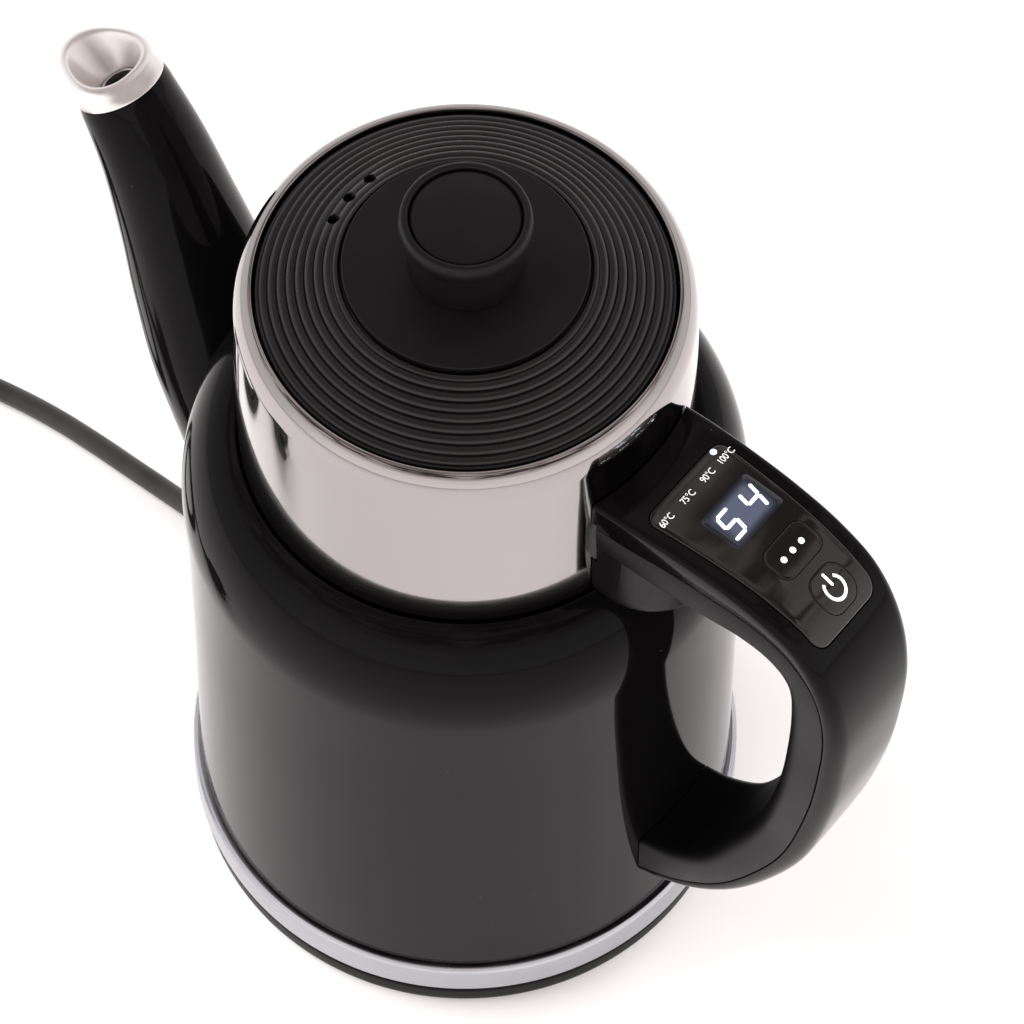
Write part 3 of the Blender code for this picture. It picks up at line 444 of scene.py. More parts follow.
# ---------- mains lead
def coil_points():
    """Turns of the coil: an outer lap, an inner lap, then a part lap on top that runs out to the tail."""
    knots = [(112, 47.1, 3.2), (150, 39.4, 3.2), (440, 39.4, 3.2), (480, 32.7, 3.2), (752, 32.7, 3.2),
             (776, 32.6, 6.6), (794, 34.2, 8.8), (812, 36.1, 9.6), (850, 36.1, 9.6), (872, 36.1, 8.9),
             (902, 36.1, 8.9), (920, 38.2, 9.7), (934, 41.4, 9.4), (946, 44, 8), (957, 45.7, 5.6),
             (968, 46.7, 3.3)]
    points = []
    for a in list(range(124, 752, 14)) + list(range(752, 962, 8)):
        i = next(n for n in range(1, len(knots)) if knots[n][0] >= a)
        (a0, r0, z0), (a1, r1, z1) = knots[i - 1], knots[i]
        f = (a - a0) / (a1 - a0)
        f = f * f * (3 - 2 * f)
        lift = 0.6 * exp(-(((a % 360) - TIE_AT) / 16) ** 2)
        r, z = r0 + (r1 - r0) * f, z0 + (z1 - z0) * f + lift
        points.append((COIL_CENTRE[0] + r * cos(radians(a)), COIL_CENTRE[1] + r * sin(radians(a)), z))
    return points


def lead():
    """The whole lead as one curve, from inside the boot to inside the plug, with its fittings."""
    knots = [CORD_EXIT, (-90, 8.8, 5.5)] + CORD_ROUTE + coil_points() + TAIL_ROUTE
    curve = bpy.data.curves.new("mains_lead", "CURVE")
    curve.dimensions, curve.resolution_u, curve.bevel_resolution, curve.use_fill_caps = "3D", 5, 6, True
    curve.bevel_depth = CORD_DIAMETER / 2 * MM
    spline = curve.splines.new("BEZIER")
    spline.bezier_points.add(len(knots) - 1)
    for spot, point in zip(spline.bezier_points, knots):
        spot.co = Vector(point) * MM
        spot.handle_left_type = spot.handle_right_type = "AUTO"
    keep_off_table(spline)
    curve.materials.append(LOOK["cord"])
    piece = new_object("mains_lead", curve)
    place(piece, "power_base", "power_cord", "cord_coil", "cord_tail", slot="rubber")
    fittings = [boot(), *plug(), tie()]


def keep_off_table(spline):
    """Fix the curve's handles where they are, but none so low that the lead would dip into the table."""
    low = CORD_DIAMETER / 2 * MM
    for spot in spline.bezier_points:
        left, right = spot.handle_left.copy(), spot.handle_right.copy()
        spot.handle_left_type = spot.handle_right_type = "FREE"
        spot.handle_left = (left.x, left.y, max(left.z, low))
        spot.handle_right = (right.x, right.y, max(right.z, low))


def boot():
    """Tapered strain relief with flexing grooves."""
    (x0, y0, z0), (x1, y1, z1), steps = (1.5 - BASE_RADIUS, *CORD_EXIT[1:]), CORD_ROUTE[0], 60
    rings = []
    for i in range(steps + 1):
        f = i / steps
        groove = (f * 9) % 1
        radius = 3.95 - 0.45 * f - (0.35 if i == steps else 0)
        if 0.12 < f < 0.95 and groove < 0.35:
            radius -= 0.42 * sin(pi * groove / 0.35)
        x, y, z = x0 + (x1 + 0.2 - x0) * f, y0 + (y1 - y0) * f, z0 + (z1 - z0) * f * f
        rings.append([(x, y + radius * cos(t), z + radius * sin(t)) for t in full_turn(40)])
    piece = lofted("strain_relief_boot", rings, "rubber", crease=60)
    return place(piece, "power_base", "strain_relief", slot="rubber")


def tie():
    """Strap that holds the coil together."""
    half, turn, centre = 3.4, Matrix.Rotation(radians(TIE_AT), 3, "Z"), Vector((*COIL_CENTRE, 0))
    outer = rounded([(29, 0.02, 2), (43.1, 0.02, 2), (43.2, 5.6, 5), (38.2, 13, 3), (34, 13, 3),
                     (28.9, 5.6, 5)], 8)
    inner = rounded([(29.5, 0.52, 2), (42.6, 0.52, 2), (42.7, 5.5, 5), (38, 12.5, 3), (34.2, 12.5, 3),
                     (29.4, 5.5, 5)], 8)
    rings = [[turn @ Vector((r, side, z)) + centre for r, z in path]
             for side, path in ((-half, outer), (half, outer), (half, inner), (-half, inner))]
    return place(lofted("coil_tie", rings, "rubber", hollow=True, crease=50), "power_base", slot="rubber")


def plug_frame():
    """Matrix at the end of the plug's boot, with Z along the plug, in millimetres."""
    aim = Matrix.Rotation(radians(PLUG_TURN), 4, "Z") @ Matrix.Rotation(radians(90 - PLUG_TILT), 4, "Y")
    return Matrix.Translation(Vector(TAIL_ROUTE[-1]) + aim @ Vector((0, 0, 0.6))) @ aim


def set_in_frame(piece, matrix):
    """Move a piece's mesh by a matrix given in millimetres."""
    scaled = matrix.copy()
    scaled.translation = matrix.translation * MM
    piece.data.transform(scaled)
    return piece


def plug():
    """Round moulded plug with finger grooves, ribbed boot and two pins."""
    n, r, here, body = PLUG_LENGTH, PLUG_RADIUS, plug_frame(), "power_base"
    ribs = []
    for i in range(6):
        z, wide = 4 + i * 2.6, 4.5 + i * 0.32
        ribs += [(wide, z, 0.2), (wide - 0.6, z + 0.6, 0.2), (wide - 0.6, z + 1.2, 0.2),
                 (wide + 0.1, z + 1.8, 0.2)]
    outline = [(0, n - 1), (r - 2.2, n - 1, 0.3), (r - 2.2, n, 0.4), (r - 0.2, n, 0.6),
               (r, n - 11, 2), (r - 1.6, n - 17, 3), (15, n - 24, 5), (10, n - 29, 4),
               (7.2, n - 32, 2)]
    moulding = turned("plug_moulding", outline + ribs[::-1] + [(4.2, 0, 0.6), (0, 0)], "rubber", MEDIUM)
    made = [place(set_in_frame(moulding, here), body, "plug_body", slot="rubber")]
    for number, side in ((1, -PIN_SPREAD), (2, PIN_SPREAD)):
        pin = turned(f"plug_prong_{number}", [
            (0, n + 19), (2.4, n + 19, 1.8), (2.4, n + 7), (2.35, n + 6.9), (2.35, n - 6),
            (0, n - 6)], "steel", 36, (0, side))
        sleeve = turned(f"plug_sleeve_{number}", [
            (2.62, n + 9.5, 0.2), (2.42, n + 9.5), (2.42, n - 1), (2.62, n - 1)],
            "rubber", 36, (0, side))
        made += [place(set_in_frame(pin, here), body, f"plug_pin_{number}", slot="plain_steel"),
                 place(set_in_frame(sleeve, here), body, slot="rubber")]
    return made


# ---------- power base
def power_base():
    """Housing with its rim, tower, contacts, underside plate, feet and screws."""
    r, body, (y, z) = BASE_RADIUS, "power_base", CORD_EXIT[1:]
    housing = turned("base_shell", [
        (r - 0.4, BASE_BOTTOM, 0.4), (r, 3.2, 1), (r, 8.2, 1.2), (75.8, BASE_TOP, 1),
        (71.2, BASE_TOP, 1), (67, BASE_MID, 1.2), (60, BASE_MID), (59.6, 13.2, 0.2), (59, 13.2, 0.2),
        (58.6, BASE_MID), (17.6, BASE_MID, 0.5), (17.3, 11.5), (66, 11.5), (70, 7.9), (75, 7.9),
        (75, BASE_BOTTOM)], "plain")
    cut(housing, bar("notch", (-84, y, z), (-64, y, z), 4.1, None, 40))
    place(housing, body, "base_housing", slot="plain_black")
    plate = turned("base_underside", [
        (0, 3.9), (74.4, 3.9), (74.4, BASE_BOTTOM, 0.5), (71.5, BASE_BOTTOM, 0.3), (71.2, 2, 0.3),
        (69.8, 2, 0.3), (69.5, BASE_BOTTOM, 0.3), (30, BASE_BOTTOM, 0.3), (29.5, 2.2, 0.3),
        (0, 2.2)], "inner")
    tools = [bar("notch", (-80, y, z - 1), (-62, y, z - 1), 4.4, None, 40)]
    for i in range(3):
        a, b = radians(60 + 120 * i), radians(120 * i)
        spot = (55 * cos(a), 55 * sin(a))
        tools.append(bar("well", (*spot, 0.5), (*spot, 3.1), 3.3, None, 36))
        screw(f"base_fixing_{i + 1}", (*spot, 3), (0, 0, -1), 2.8, body, f"base_screw_{i + 1}")
        fitted(f"rubber_foot_{i + 1}", [
            (0, BASE_BOTTOM), (5.5, BASE_BOTTOM), (5.5, 0.3, 0.4), (4.6, 0, 0.3), (3.2, 0, 0.2),
            (3, 0.3, 0.2), (0, 0.3)], "rubber", body, f"base_foot_{i + 1}", "rubber", MEDIUM,
            (66 * cos(b), 66 * sin(b)))
    cut(plate, *tools)
    place(plate, body, "base_bottom_plate", slot="plain_black")
    fitted("connector_tower", [
        (3.2, 6), (20, 6), (20, 11.2), (17, 11.2), (17, 13.7, 0.3), (13.5, 13.7, 0.6),
        (13.5, 24, 1.2), (10.2, 24, 0.7), (10.2, 12), (6.2, 12), (6.2, 24, 0.7), (3.2, 24, 0.5)],
        "inner", body, "base_connector", "plain_black", MEDIUM)
    fitted("earth_pin", [(0, 22.8), (2.9, 22.6, 1.6), (2.9, 5), (0, 5)], "brass", body,
           "connector_pin", "brass", 48)
    fitted("line_contact", [(8.9, 12.3), (9.9, 12.3), (9.9, 21, 0.4), (8.9, 21, 0.4)], "brass", body,
           "connector_ring", "brass", MEDIUM)
    fitted("shutter_ring", [
        (13.9, 13.9, 0.2), (16.8, 13.9, 0.2), (16.8, 15.2, 0.5), (15.6, 15.4, 0.3), (13.9, 15.4, 0.3)],
        "plain", "turning_shutter", "contact_shutter", "plain_black", MEDIUM)


def screw(name, spot, direction, radius, body, node, reach=6.5):
    """Pan-head screw with a cross recess; its head faces the given direction."""
    head = turned(name, [(0, 1.1), (radius * 0.55, 1.05, 0.6), (radius, 0.55, 0.5), (radius, 0, 0.1),
                         (radius * 0.5, 0), (radius * 0.5, -reach), (0, -reach)], "steel", 48)
    half, long, slots = radius * 0.11, radius * 0.55, []
    for turn in (20, 110):
        level = Matrix.Rotation(radians(turn), 3, "Z")
        corners = [level @ Vector((long * u, half * v, 0)) for u, v in ((1, 1), (-1, 1), (-1, -1), (1, -1))]
        slots.append(lofted("slot", [[(p.x, p.y, z) for p in corners] for z in (0.3, 2)], None))
    cut(head, *slots)
    turn = Vector(direction).to_track_quat("Z", "Y").to_matrix().to_4x4()
    set_in_frame(head, Matrix.Translation(Vector(spot)) @ turn)
    place(head, body, node, slot="plain_steel")


# ---------- kettle body
def shoulder(grow, steps, start=0, end=90):
    """Quarter ellipse of the shoulder."""
    return arc((57.3, SHOULDER_START), (BODY_RADIUS_HIGH - 57.3 + grow, SHOULDER_TOP - SHOULDER_START + grow),
               start, end, steps)


def wall(grow, steps):
    """Outside of the black wall from its foot to the neck."""
    heights = [BODY_FOOT + (SHOULDER_START - BODY_FOOT) * i / 12 for i in range(12)]
    knots = [(BODY_RADIUS_LOW, 0), (74.8, 0), (74.1, 0), (73.5, 0), (73, 0), (72.6, 0), (72.5, 0)]
    side = [(smooth(knots, i / 12).x + grow, z) for i, z in enumerate(heights)]
    return side + shoulder(grow, steps)


def envelope(grow):
    """Solid of the body and neck together, to trim what meets them."""
    low = BODY_FOOT - 12
    neck = [(NECK_RADIUS_LOW, SHOULDER_TOP + grow)] + NECK_LINE + [(55.4, 244), (55.4, 248)]
    return turned("trim", [(0, low), (BODY_RADIUS_LOW + grow, low)] + wall(grow, 24)
                  + [(r + grow, z) for r, z in neck] + [(0, 248)], None)


def groove(r):
    """Corners of a shallow ring groove in the underside."""
    return [(r, 15.4, 0.3), (r + 0.4, 15.9, 0.3), (r + 1.2, 15.9, 0.3), (r + 1.6, 15.4, 0.3)]


def kettle_body():
    """Black wall, neck, foot band, underside, pot and heater."""
    inner = shoulder(-2.2, 12, 90, 0) + [(71.3, 68), (72.9, BODY_FOOT + 0.6)]
    outline = [(BODY_RADIUS_LOW - 0.35, BODY_FOOT), (BODY_RADIUS_LOW, BODY_FOOT + 0.35)] + wall(0, 28)[1:-1]
    outline += [(57.75, 189.75), (57.42, 189.55), (57.3, 189.1)] + inner + [(73.2, BODY_FOOT)]
    shell = turned("body_wall", outline, "gloss")
    cut(shell, spout_solid("passage", 3, 0.62))
    place(shell, "kettle", "body_shell", slot="gloss_black")

    rim = arc((50.7, 243), (4.75, 8.9), 4, 84, 22)
    fitted("steel_neck", [(NECK_RADIUS_LOW, SHOULDER_TOP - 0.6)] + NECK_LINE + rim + [
            (50.75, 251.75, 0.3), (50.45, 251.1, 0.4), (50.5, 247.6, 0.3), (51.5, 247.6, 0.3),
            (52, 249, 0.5), (53.2, 246.5, 0.8), (54, 240), (54.6, 215), (55, SHOULDER_TOP)],
        "chrome", "kettle", "neck_collar", "polished_steel", crease=60)
    fitted("foot_band", [
        (74.8, 10.8), (77.35, 10.8, 0.3), (77.95, 11.3, 0.35), (77.6, 20.9, 0.25), (77.2, 21.5, 0.2),
        (76.4, 22.2, 0.3), (75.9, 22.2, 0.1), (74.8, 22.2)], "band", "kettle", "heel_ring", "satin_steel",
        crease=25)
    fitted("underside", [
        (74.3, 10.2, 0.5), (74.5, 22.4), (72.6, 22.4), (72.6, 28), (71, 28), (71, 17.4), (20.8, 17.4),
        (20.8, 15.4, 0.4), *groove(30), *groove(60), (71.8, 15.4, 0.8),
        (71.8, 10.2, 0.5)], "inner", "kettle", "bottom_cover", "plain_black")
    fitted("connector_socket", [
        (0, 27), (20.5, 27), (20.5, 15.7, 0.5), (14.2, 15.7, 0.9), (14.2, 24.7), (8.4, 24.7),
        (8.4, 14.6, 0.4), (6.7, 14.6, 0.4), (6.7, 24.7), (0, 24.7)], "plain", "kettle", "kettle_socket",
        "plain_black", MEDIUM)
    pot()


def pot():
    """Steel pot with its pouring hole and level line, and the heater and works under it."""
    outer = arc((51.9, 152), (15.6, 24), 8, 78, 10)
    inner = arc((50.7, 152), (15.6, 22.8), 78, 8, 10)
    vessel = turned("steel_pot", [
        (0, 40), (61.5, 40, 2), (67.5, 40.6, 5), (67.5, 152)] + outer + [
            (51.9, 181, 2), (51.9, 246.9, 0.4), (50.7, 246.9, 0.4), (50.7, 179.4, 2)] + inner + [
                (66.3, 152), (66.3, 120.6), (66, 120.2, 0.3), (66, 119.4, 0.3), (66.3, 119),
                (66.3, 41.6, 5), (52, 41.2, 1), (50, 41.8, 1), (0, 41.8)], "steel", 144)
    cut(vessel, spout_solid("passage", None, 0.45, 9.6))
    place(vessel, "kettle", "pot_floor", "pot_wall", "pot_dome", "pot_neck", slot="plain_steel")
    fitted("heater_plate", [(0, 37.2), (60, 37.2, 0.5), (62, 38.2, 0.5), (62, 39.7), (0, 39.7)],
           "alloy", "kettle", "element_plate", "cast_alloy", 96)
    for node, look in (("heating_tube", "steel"), ("thermostat", "inner"), ("control_board", "board"),
                       ("display_module", "inner")):
        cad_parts[node].material_slots[0].material = LOOK[look]


# ---------- spout
SPOUT_LINE = [(60, 122, 28.6), (67.6, 130.4, 26.4), (80, 147.7, 22.4), (88.3, 169.2, 19),
              (94.7, 192.5, 16.2), (101.6, 215.3, 14), (110.6, 234.7, 12.1)]
TIP_LEAN = 32          # degrees by which the end face leans outward
TUBE_PROUD = 1.1         # length of the steel tube beyond the end face


def spout_ring(t, radius, count):
    """Circle square to the spout's line; near the tip it eases into the lean of the end face."""
    here = smooth(SPOUT_LINE, t)
    ahead = smooth(SPOUT_LINE, min(1, t + 0.02)) - smooth(SPOUT_LINE, max(0, t - 0.02))
    own = atan2(ahead.x, ahead.y)
    lean = own + (radians(TIP_LEAN) - own) * max(0, (t - 0.9) / 0.1)
    return [(-(here.x + radius * cos(a) * cos(lean)), radius * sin(a), here.y - radius * cos(a) * sin(lean))
            for a in full_turn(count)]


def spout_solid(name, inset, last, radius=None):
    """Solid along the foot of the spout, its own size less an inset or of one radius."""
    rings = []
    for i in range(13):
        t = last * i / 12
        rings.append(spout_ring(t, smooth(SPOUT_LINE, t).z - inset if radius is None else radius, 24))
    return lofted(name, rings, None)


def lip_ring(u, z, radius, lean, beak):
    """Ring of the pouring lip: the more beak, the more it is a rounded triangle with a corner outward."""
    ring = []
    for a in full_turn(96):
        reach = radius * (1 + 0.65 * beak * max(0, cos(a)) ** 2 + 0.5 * beak * cos(3 * a))
        across = reach * cos(a)
        ring.append((-(u + across * cos(radians(lean))), reach * sin(a), z - across * sin(radians(lean))))
    return ring


def spout():
    """Black spout, steel tube and the cast lip."""
    steps = 60
    spots = [(i / steps, smooth(SPOUT_LINE, i / steps).z - (0.25 if i == steps else 0))
             for i in range(steps + 1)]
    rings = [spout_ring(t, r, 96) for t, r in spots] + [spout_ring(t, r - 2, 96) for t, r in spots[::-1]]
    shell = lofted("spout_wall", rings, "gloss", hollow=True)
    cut(shell, envelope(0.12))
    place(shell, "kettle", "spout_shell", slot="gloss_black")

    lean = radians(TIP_LEAN)
    spots = [0.18 + 0.82 * i / 36 for i in range(37)]
    sides = []
    for wall_inset in (0, 0.8):
        path = [spout_ring(t, 10.5 - 5.65 * t - wall_inset, 64) for t in spots]
        path.append([(x - TUBE_PROUD * sin(lean), y, z + TUBE_PROUD * cos(lean)) for x, y, z in path[-1]])
        sides.append(path)
    tube = lofted("spout_tube_inner", sides[0] + sides[1][::-1], "steel", hollow=True)
    place(tube, "kettle", "spout_tube", slot="plain_steel")

    end = smooth(SPOUT_LINE, 1)
    u, z, flat = end.x + sin(lean) * 0.25, end.y + cos(lean) * 0.25, TIP_LEAN
    keys = [
        (u, z, 11.75, flat, 0), (u + 0.1, z + 0.15, 11.95, 31.5, 0), (u + 0.9, z + 1.3, 11.95, 27, 0),
        (113.4, 237.6, 11.7, 20, 0.03), (114.7, 239.2, 11.5, 15, 0.06), (115.4, 239.9, 11.4, 12.5, 0.1),
        (115.7, 240.4, 11.2, 11, 0.12), (115.8, 240.9, 10.85, 10.5, 0.12),
        (115.8, 241.2, 10.4, 10, 0.12), (115.8, 241.35, 9.95, 10, 0.12), (115.8, 241.3, 9.5, 9.7, 0.11),
        (115.75, 241.05, 9.1, 9.5, 0.1), (115.6, 240.6, 8.75, 10.5, 0.09), (115.1, 239.8, 8.2, 13, 0.06),
        (114, 238.4, 7.2, 19, 0.02), (112.8, 237.1, 6.1, 25, 0), (u + 0.85, z + 1.35, 5.4, flat, 0),
        (u + 0.5, z + 0.8, 5.15, flat, 0), (u + 0.1, z + 0.2, 5.1, flat, 0), (u, z, 5.3, flat, 0)]
    lip = lofted("pouring_lip", [lip_ring(*key) for key in keys], "satin", hollow=True, crease=50)
    place(lip, "kettle", "spout_lip", slot="satin_steel")


# ---------- handle
HANDLE_LINE = [
    (50, 230.6, 50, 211.6, 18.2, 0.5, 1.6), (62, 231.7, 64, 212, 18.1, 0.5, 1.6),
    (75, 232.3, 76, 212.2, 17.7, 0.56, 1.7), (88, 232, 87.5, 212.8, 17.2, 0.57, 1.9),
    (101, 229.8, 97, 213.2, 16.7, 0.6, 2.2), (113.2, 224, 105, 210.5, 16.2, 0.62, 2.8),
    (122.6, 210.8, 109.8, 203.5, 15.8, 0.68, 3.8), (127.4, 192.4, 111.3, 190, 15.4, 0.7, 4.6),
    (128, 170, 111.6, 170, 15.2, 0.69, 4.8), (126.6, 147, 110.6, 149, 15, 0.68, 4.8),
    (121.8, 117, 106.8, 123, 15, 0.68, 4.6), (113.5, 93, 99.8, 101.5, 15, 0.69, 4.2),
    (102.5, 71.5, 92, 82.5, 15, 0.69, 3.8), (89, 56, 82.5, 71.3, 15, 0.73, 3),
    (74, 47.3, 73.5, 66, 15, 0.84, 1.9), (64, 43.5, 64, 64, 15, 0.88, 1.6)]
CROWN = 0.35             # rise of the handle's outer face in its middle
LENS_PROUD = 0.4         # height of the window above that face
MARK_HEIGHT = LENS_PROUD + 0.03
KEY_MARK_HEIGHT = LENS_PROUD + 0.012
PANEL_START, PANEL_END = 65.6, 116
PANEL_WIDTHS = (14.2, 11.2)


class Station:
    """Cross-section of the handle at a place along it."""

    def __init__(self, t):
        row = [smooth([(v, 0) for v in column], t).x for column in zip(*HANDLE_LINE)]
        outer, self.inner = Vector(row[0:2]), Vector(row[2:4])
        self.half_width, self.seam_share, self.corner = row[4:7]
        self.depth = (outer - self.inner).length
        self.out = (outer - self.inner).normalized()

    def point(self, across, height):
        """World point of a place across the section and above its inner face."""
        spot = self.inner + self.out * height
        return (spot.x, across, spot.y)


def section_side(half_width, edge, seam, corner, inward):
    """One side of a moulding's section, from its seam edge round its corner to its face."""
    ease = 0.3
    side = [(half_width - 1.6, seam), (half_width - ease, seam), (half_width - 0.09, seam + inward * 0.09),
            (half_width, seam + inward * ease)]
    for i in range(9):
        a = radians(90 * i / 8)
        side.append((half_width - corner * (1 - cos(a)), edge - inward * corner * (1 - sin(a))))
    return side


def shell_ring(s):
    """Section of the gloss outer half, with a slightly crowned outer face."""
    seam = s.seam_share * s.depth + SEAM
    corner = min(s.corner, s.depth - seam - 0.6)
    side = section_side(s.half_width, s.depth, seam, corner, 1)
    flat = s.half_width - corner
    side += [(flat * f, s.depth) for f in (0.75, 0.5, 0.25)]
    ring = side + [(-y, h) for y, h in reversed(side)]
    return [s.point(y, h - CROWN * (y / s.half_width) ** 2 * (h / s.depth) ** 4) for y, h in ring]


def grip_ring(s):
    """Section of the matte inner half."""
    seam = s.seam_share * s.depth - SEAM
    side = section_side(s.half_width, 0, seam, s.corner, -1)
    flat = s.half_width - s.corner
    side += [(flat * f, 0) for f in (0.6, 0.25)]
    ring = side + [(-y, h) for y, h in reversed(side)]
    return [s.point(y, h - 0.4 * (1 - (y / s.half_width) ** 2) * (1 - h / s.depth) ** 4) for y, h in ring]


def panel_table():
    """Places along the handle by the distance of the outer face from the axis."""
    rows = []
    for i in range(401):
        s = Station(0.5 * i / 400)
        spot = s.inner + s.out * s.depth
        rows.append((spot.x, spot.y, s.out.x, s.out.y, s.half_width))
    return np.array(rows)


PANEL_TABLE = panel_table()


def on_panel(u, w, height):
    """World point on the handle's outer face: u from the axis, w across, height above the face."""
    x, z, nx, nz, half = (np.interp(u, PANEL_TABLE[:, 0], PANEL_TABLE[:, k]) for k in range(5))
    lift = height - CROWN * (w / half) ** 2
    return (x + nx * lift, w, z + nz * lift)


def soft_corners(start, end, width, corner, count, middle=0):
    """Rounded four-sided outline in panel coordinates; width gives its half width at a place."""
    points = []
    for number, (u0, side) in enumerate(((end, 1), (start, 1), (start, -1), (end, -1))):
        u0 += corner if u0 == start else -corner
        for i in range(count + 1):
            a = radians(90 * number + 90 * i / count)
            u = u0 + corner * cos(a)
            points.append((u, middle + side * (width(u) - corner) + corner * sin(a)))
    return points


def panel_outline(inset):
    """Rounded outline of the window, drawn in by an inset."""
    near, far = PANEL_WIDTHS

    def width(u):
        """Half width at a distance from the axis."""
        return near + (far - near) * (u - PANEL_START) / (PANEL_END - PANEL_START) - inset

    return soft_corners(PANEL_START + inset, PANEL_END - inset, width, max(3.2 - inset, 0.3), 10)


def key_outline(centre, size, inset):
    """Rounded rectangle of a key."""
    (u, w), (along, across, corner) = centre, size
    reach, half = along / 2 - inset, across / 2 - inset
    return soft_corners(u - reach, u + reach, lambda _: half, max(corner - inset, 0.3), 8, w)


def subdivided(outline, longest=1.5):
    """The same closed outline with its long sides divided."""
    points = []
    for (u0, w0), (u1, w1) in zip(outline, outline[1:] + outline[:1]):
        parts = max(1, int(sqrt((u1 - u0) ** 2 + (w1 - w0) ** 2) / longest))
        points += [(u0 + (u1 - u0) * i / parts, w0 + (w1 - w0) * i / parts) for i in range(parts)]
    return points


def laid(bm, outline, height):
    """Vertices of an outline laid at a height above the handle's face."""
    return [bm.verts.new(Vector(on_panel(u, w, height)) * MM) for u, w in outline]


def plate(name, outline, levels, look, dish=0, middle=10):
    """Plate that follows the handle's face: rings at (inset, height) levels, then a smooth top."""
    outline = subdivided(outline)
    cu, cw = np.mean(outline, axis=0)
    reach = max(abs(w - cw) for _, w in outline)
    edge, top = levels[-1]
    bm = bmesh.new()
    loops = []
    for inset, height in list(levels) + [(edge + (reach - edge) * i / middle, top) for i in range(1, middle)]:
        scale = 1 - inset / reach
        lower = dish * (1 - min(1, scale) ** 2) if inset > 0.3 else 0
        ring = [(cu + (u - cu) * scale, cw + (w - cw) * scale) for u, w in outline]
        loops.append(laid(bm, ring, height - lower))
    skin(bm, loops)
    centre = laid(bm, [(cu, cw)], top - dish)[0]
    for pair in zip(loops[-1], loops[-1][1:] + loops[-1][:1]):
        bm.faces.new((*pair, centre))
    bm.faces.new(list(reversed(loops[0])))
    return finish_mesh(name, bm, look, 45)


SELECT_KEY = ((97, 2), (9, 15, 3))
POWER_KEY = ((109.1, 2), (9.6, 11, 3.6))
KEY_GAP = 0.18           # room round a key in the window, so that it clears the curved window as it travels


def handle():
    """Two-part handle with its root block, gasket and screws."""
    stations = [Station(i / 150) for i in range(151)]
    shell = lofted("handle_outer", [shell_ring(s) for s in stations], "gloss", crease=50)
    grip = lofted("handle_inner", [grip_ring(s) for s in stations], "grip", crease=50)
    centre, half = 59, 18
    plan = [(45, -half), (45, half)]
    plan += [(centre + half * sin(radians(a)), half * cos(radians(a))) for a in range(0, 181, 5)]
    rings = [[(x if x < centre else centre + (x - centre) * k, y * k, z) for x, y in plan]
             for z, k in ((190.6, 0.945), (190.9, 0.965), (191.6, 0.982), (193, 0.995), (195, 1),
                          (216.5, 1))]
    settle(grip, "UNION", [lofted("root", rings, None, crease=50)])
    cut(grip, envelope(0.28), gasket("room", 0.25, None))
    cut(shell, envelope(0.28), gasket("room", 0.25, None), window_pocket())
    place(shell, "kettle", "handle_shell", slot="gloss_black")
    place(grip, "kettle", "handle_grip", slot="soft_black")
    place(gasket("root_gasket", 0, "rubber"), "kettle", "handle_pad", slot="rubber")
    screw("handle_fixing_1", (54.1, 0, 200), (-1, 0, 0), 3.4, "kettle", "handle_screw_1", 15)
    screw("handle_fixing_2", (71.4, 0, 60), (-1, 0, 0), 3.4, "kettle", "handle_screw_2", 8)


def window_pocket():
    """Tool for the recess that the control window sits in."""
    bm = bmesh.new()
    loops = [laid(bm, subdivided(panel_outline(-0.28)), height) for height in (-5.4, 3)]
    bm.faces.new(list(reversed(loops[0])))
    bm.faces.new(loops[1])
    skin(bm, loops)
    bmesh.ops.triangulate(bm, faces=[f for f in bm.faces if len(f.verts) > 4])
    return finish_mesh("pocket", bm, None)


def gasket(name, grow, look):
    """Pad between the root block and the neck, curved with the neck."""
    reach = radians(19.4 + grow * 2)
    rings = []
    for i in range(41):
        a = -reach + 2 * reach * i / 40
        squeeze = 6 * (abs(a) / reach) ** 8
        low, high = 203 - grow + squeeze, 226 + grow - squeeze
        section = []
        for z, side in ((low, 0), (low, 0.8), (low + 0.4, 1), (high - 0.4, 1), (high, 0.8), (high, 0)):
            r = 57 - (z - SHOULDER_TOP) * 0.026 + (0.2 - grow * 20 if side == 0 else (1.5 + grow) * side)
            section.append((r * cos(a), r * sin(a), z))
        rings.append(section)
    return lofted(name, rings, look, crease=30)


def control_window():
    """Window, keys, display glow, digits and printed marks with a painted glow."""
    top = LENS_PROUD
    edge = [(0, -1.2), (0, top - 0.42), (0.06, top - 0.2), (0.2, top - 0.05), (0.42, top)]
    lens = plate("control_lens", panel_outline(0), edge, "window")
    tools = []
    for key in (SELECT_KEY, POWER_KEY):
        outline = subdivided(key_outline(*key, -KEY_GAP))
        tools.append(lofted("opening", [[on_panel(u, w, h) for u, w in outline] for h in (-3, 2)], None))
    cut(lens, *tools)
    place(lens, "kettle", "panel_lens", slot="control_window")
    edge = [(0, -3.2), (0, top - 0.1), (0.05, top - 0.03), (0.12, top)]
    for name, node, body, key in (("mode_key_cap", "select_key", "mode_key", SELECT_KEY),
                                  ("power_key_cap", "power_key", "switch_key", POWER_KEY)):
        cap = plate(name, key_outline(*key, 0), edge, "window", 0.08)
        place(cap, body, node, slot="control_window")
    marks()


def stroke(start, end, width):
    """Outline of a straight mark with round ends, in panel coordinates."""
    a, b = Vector(start), Vector(end)
    along = (b - a).normalized()
    side = Vector((-along.y, along.x)) * width / 2
    points = []
    for spot, sign in ((b, 1), (a, -1)):
        for i in range(9):
            t = pi * i / 8
            points.append(tuple(spot + side * cos(t) * sign + along * sin(t) * sign * width / 2))
    return points


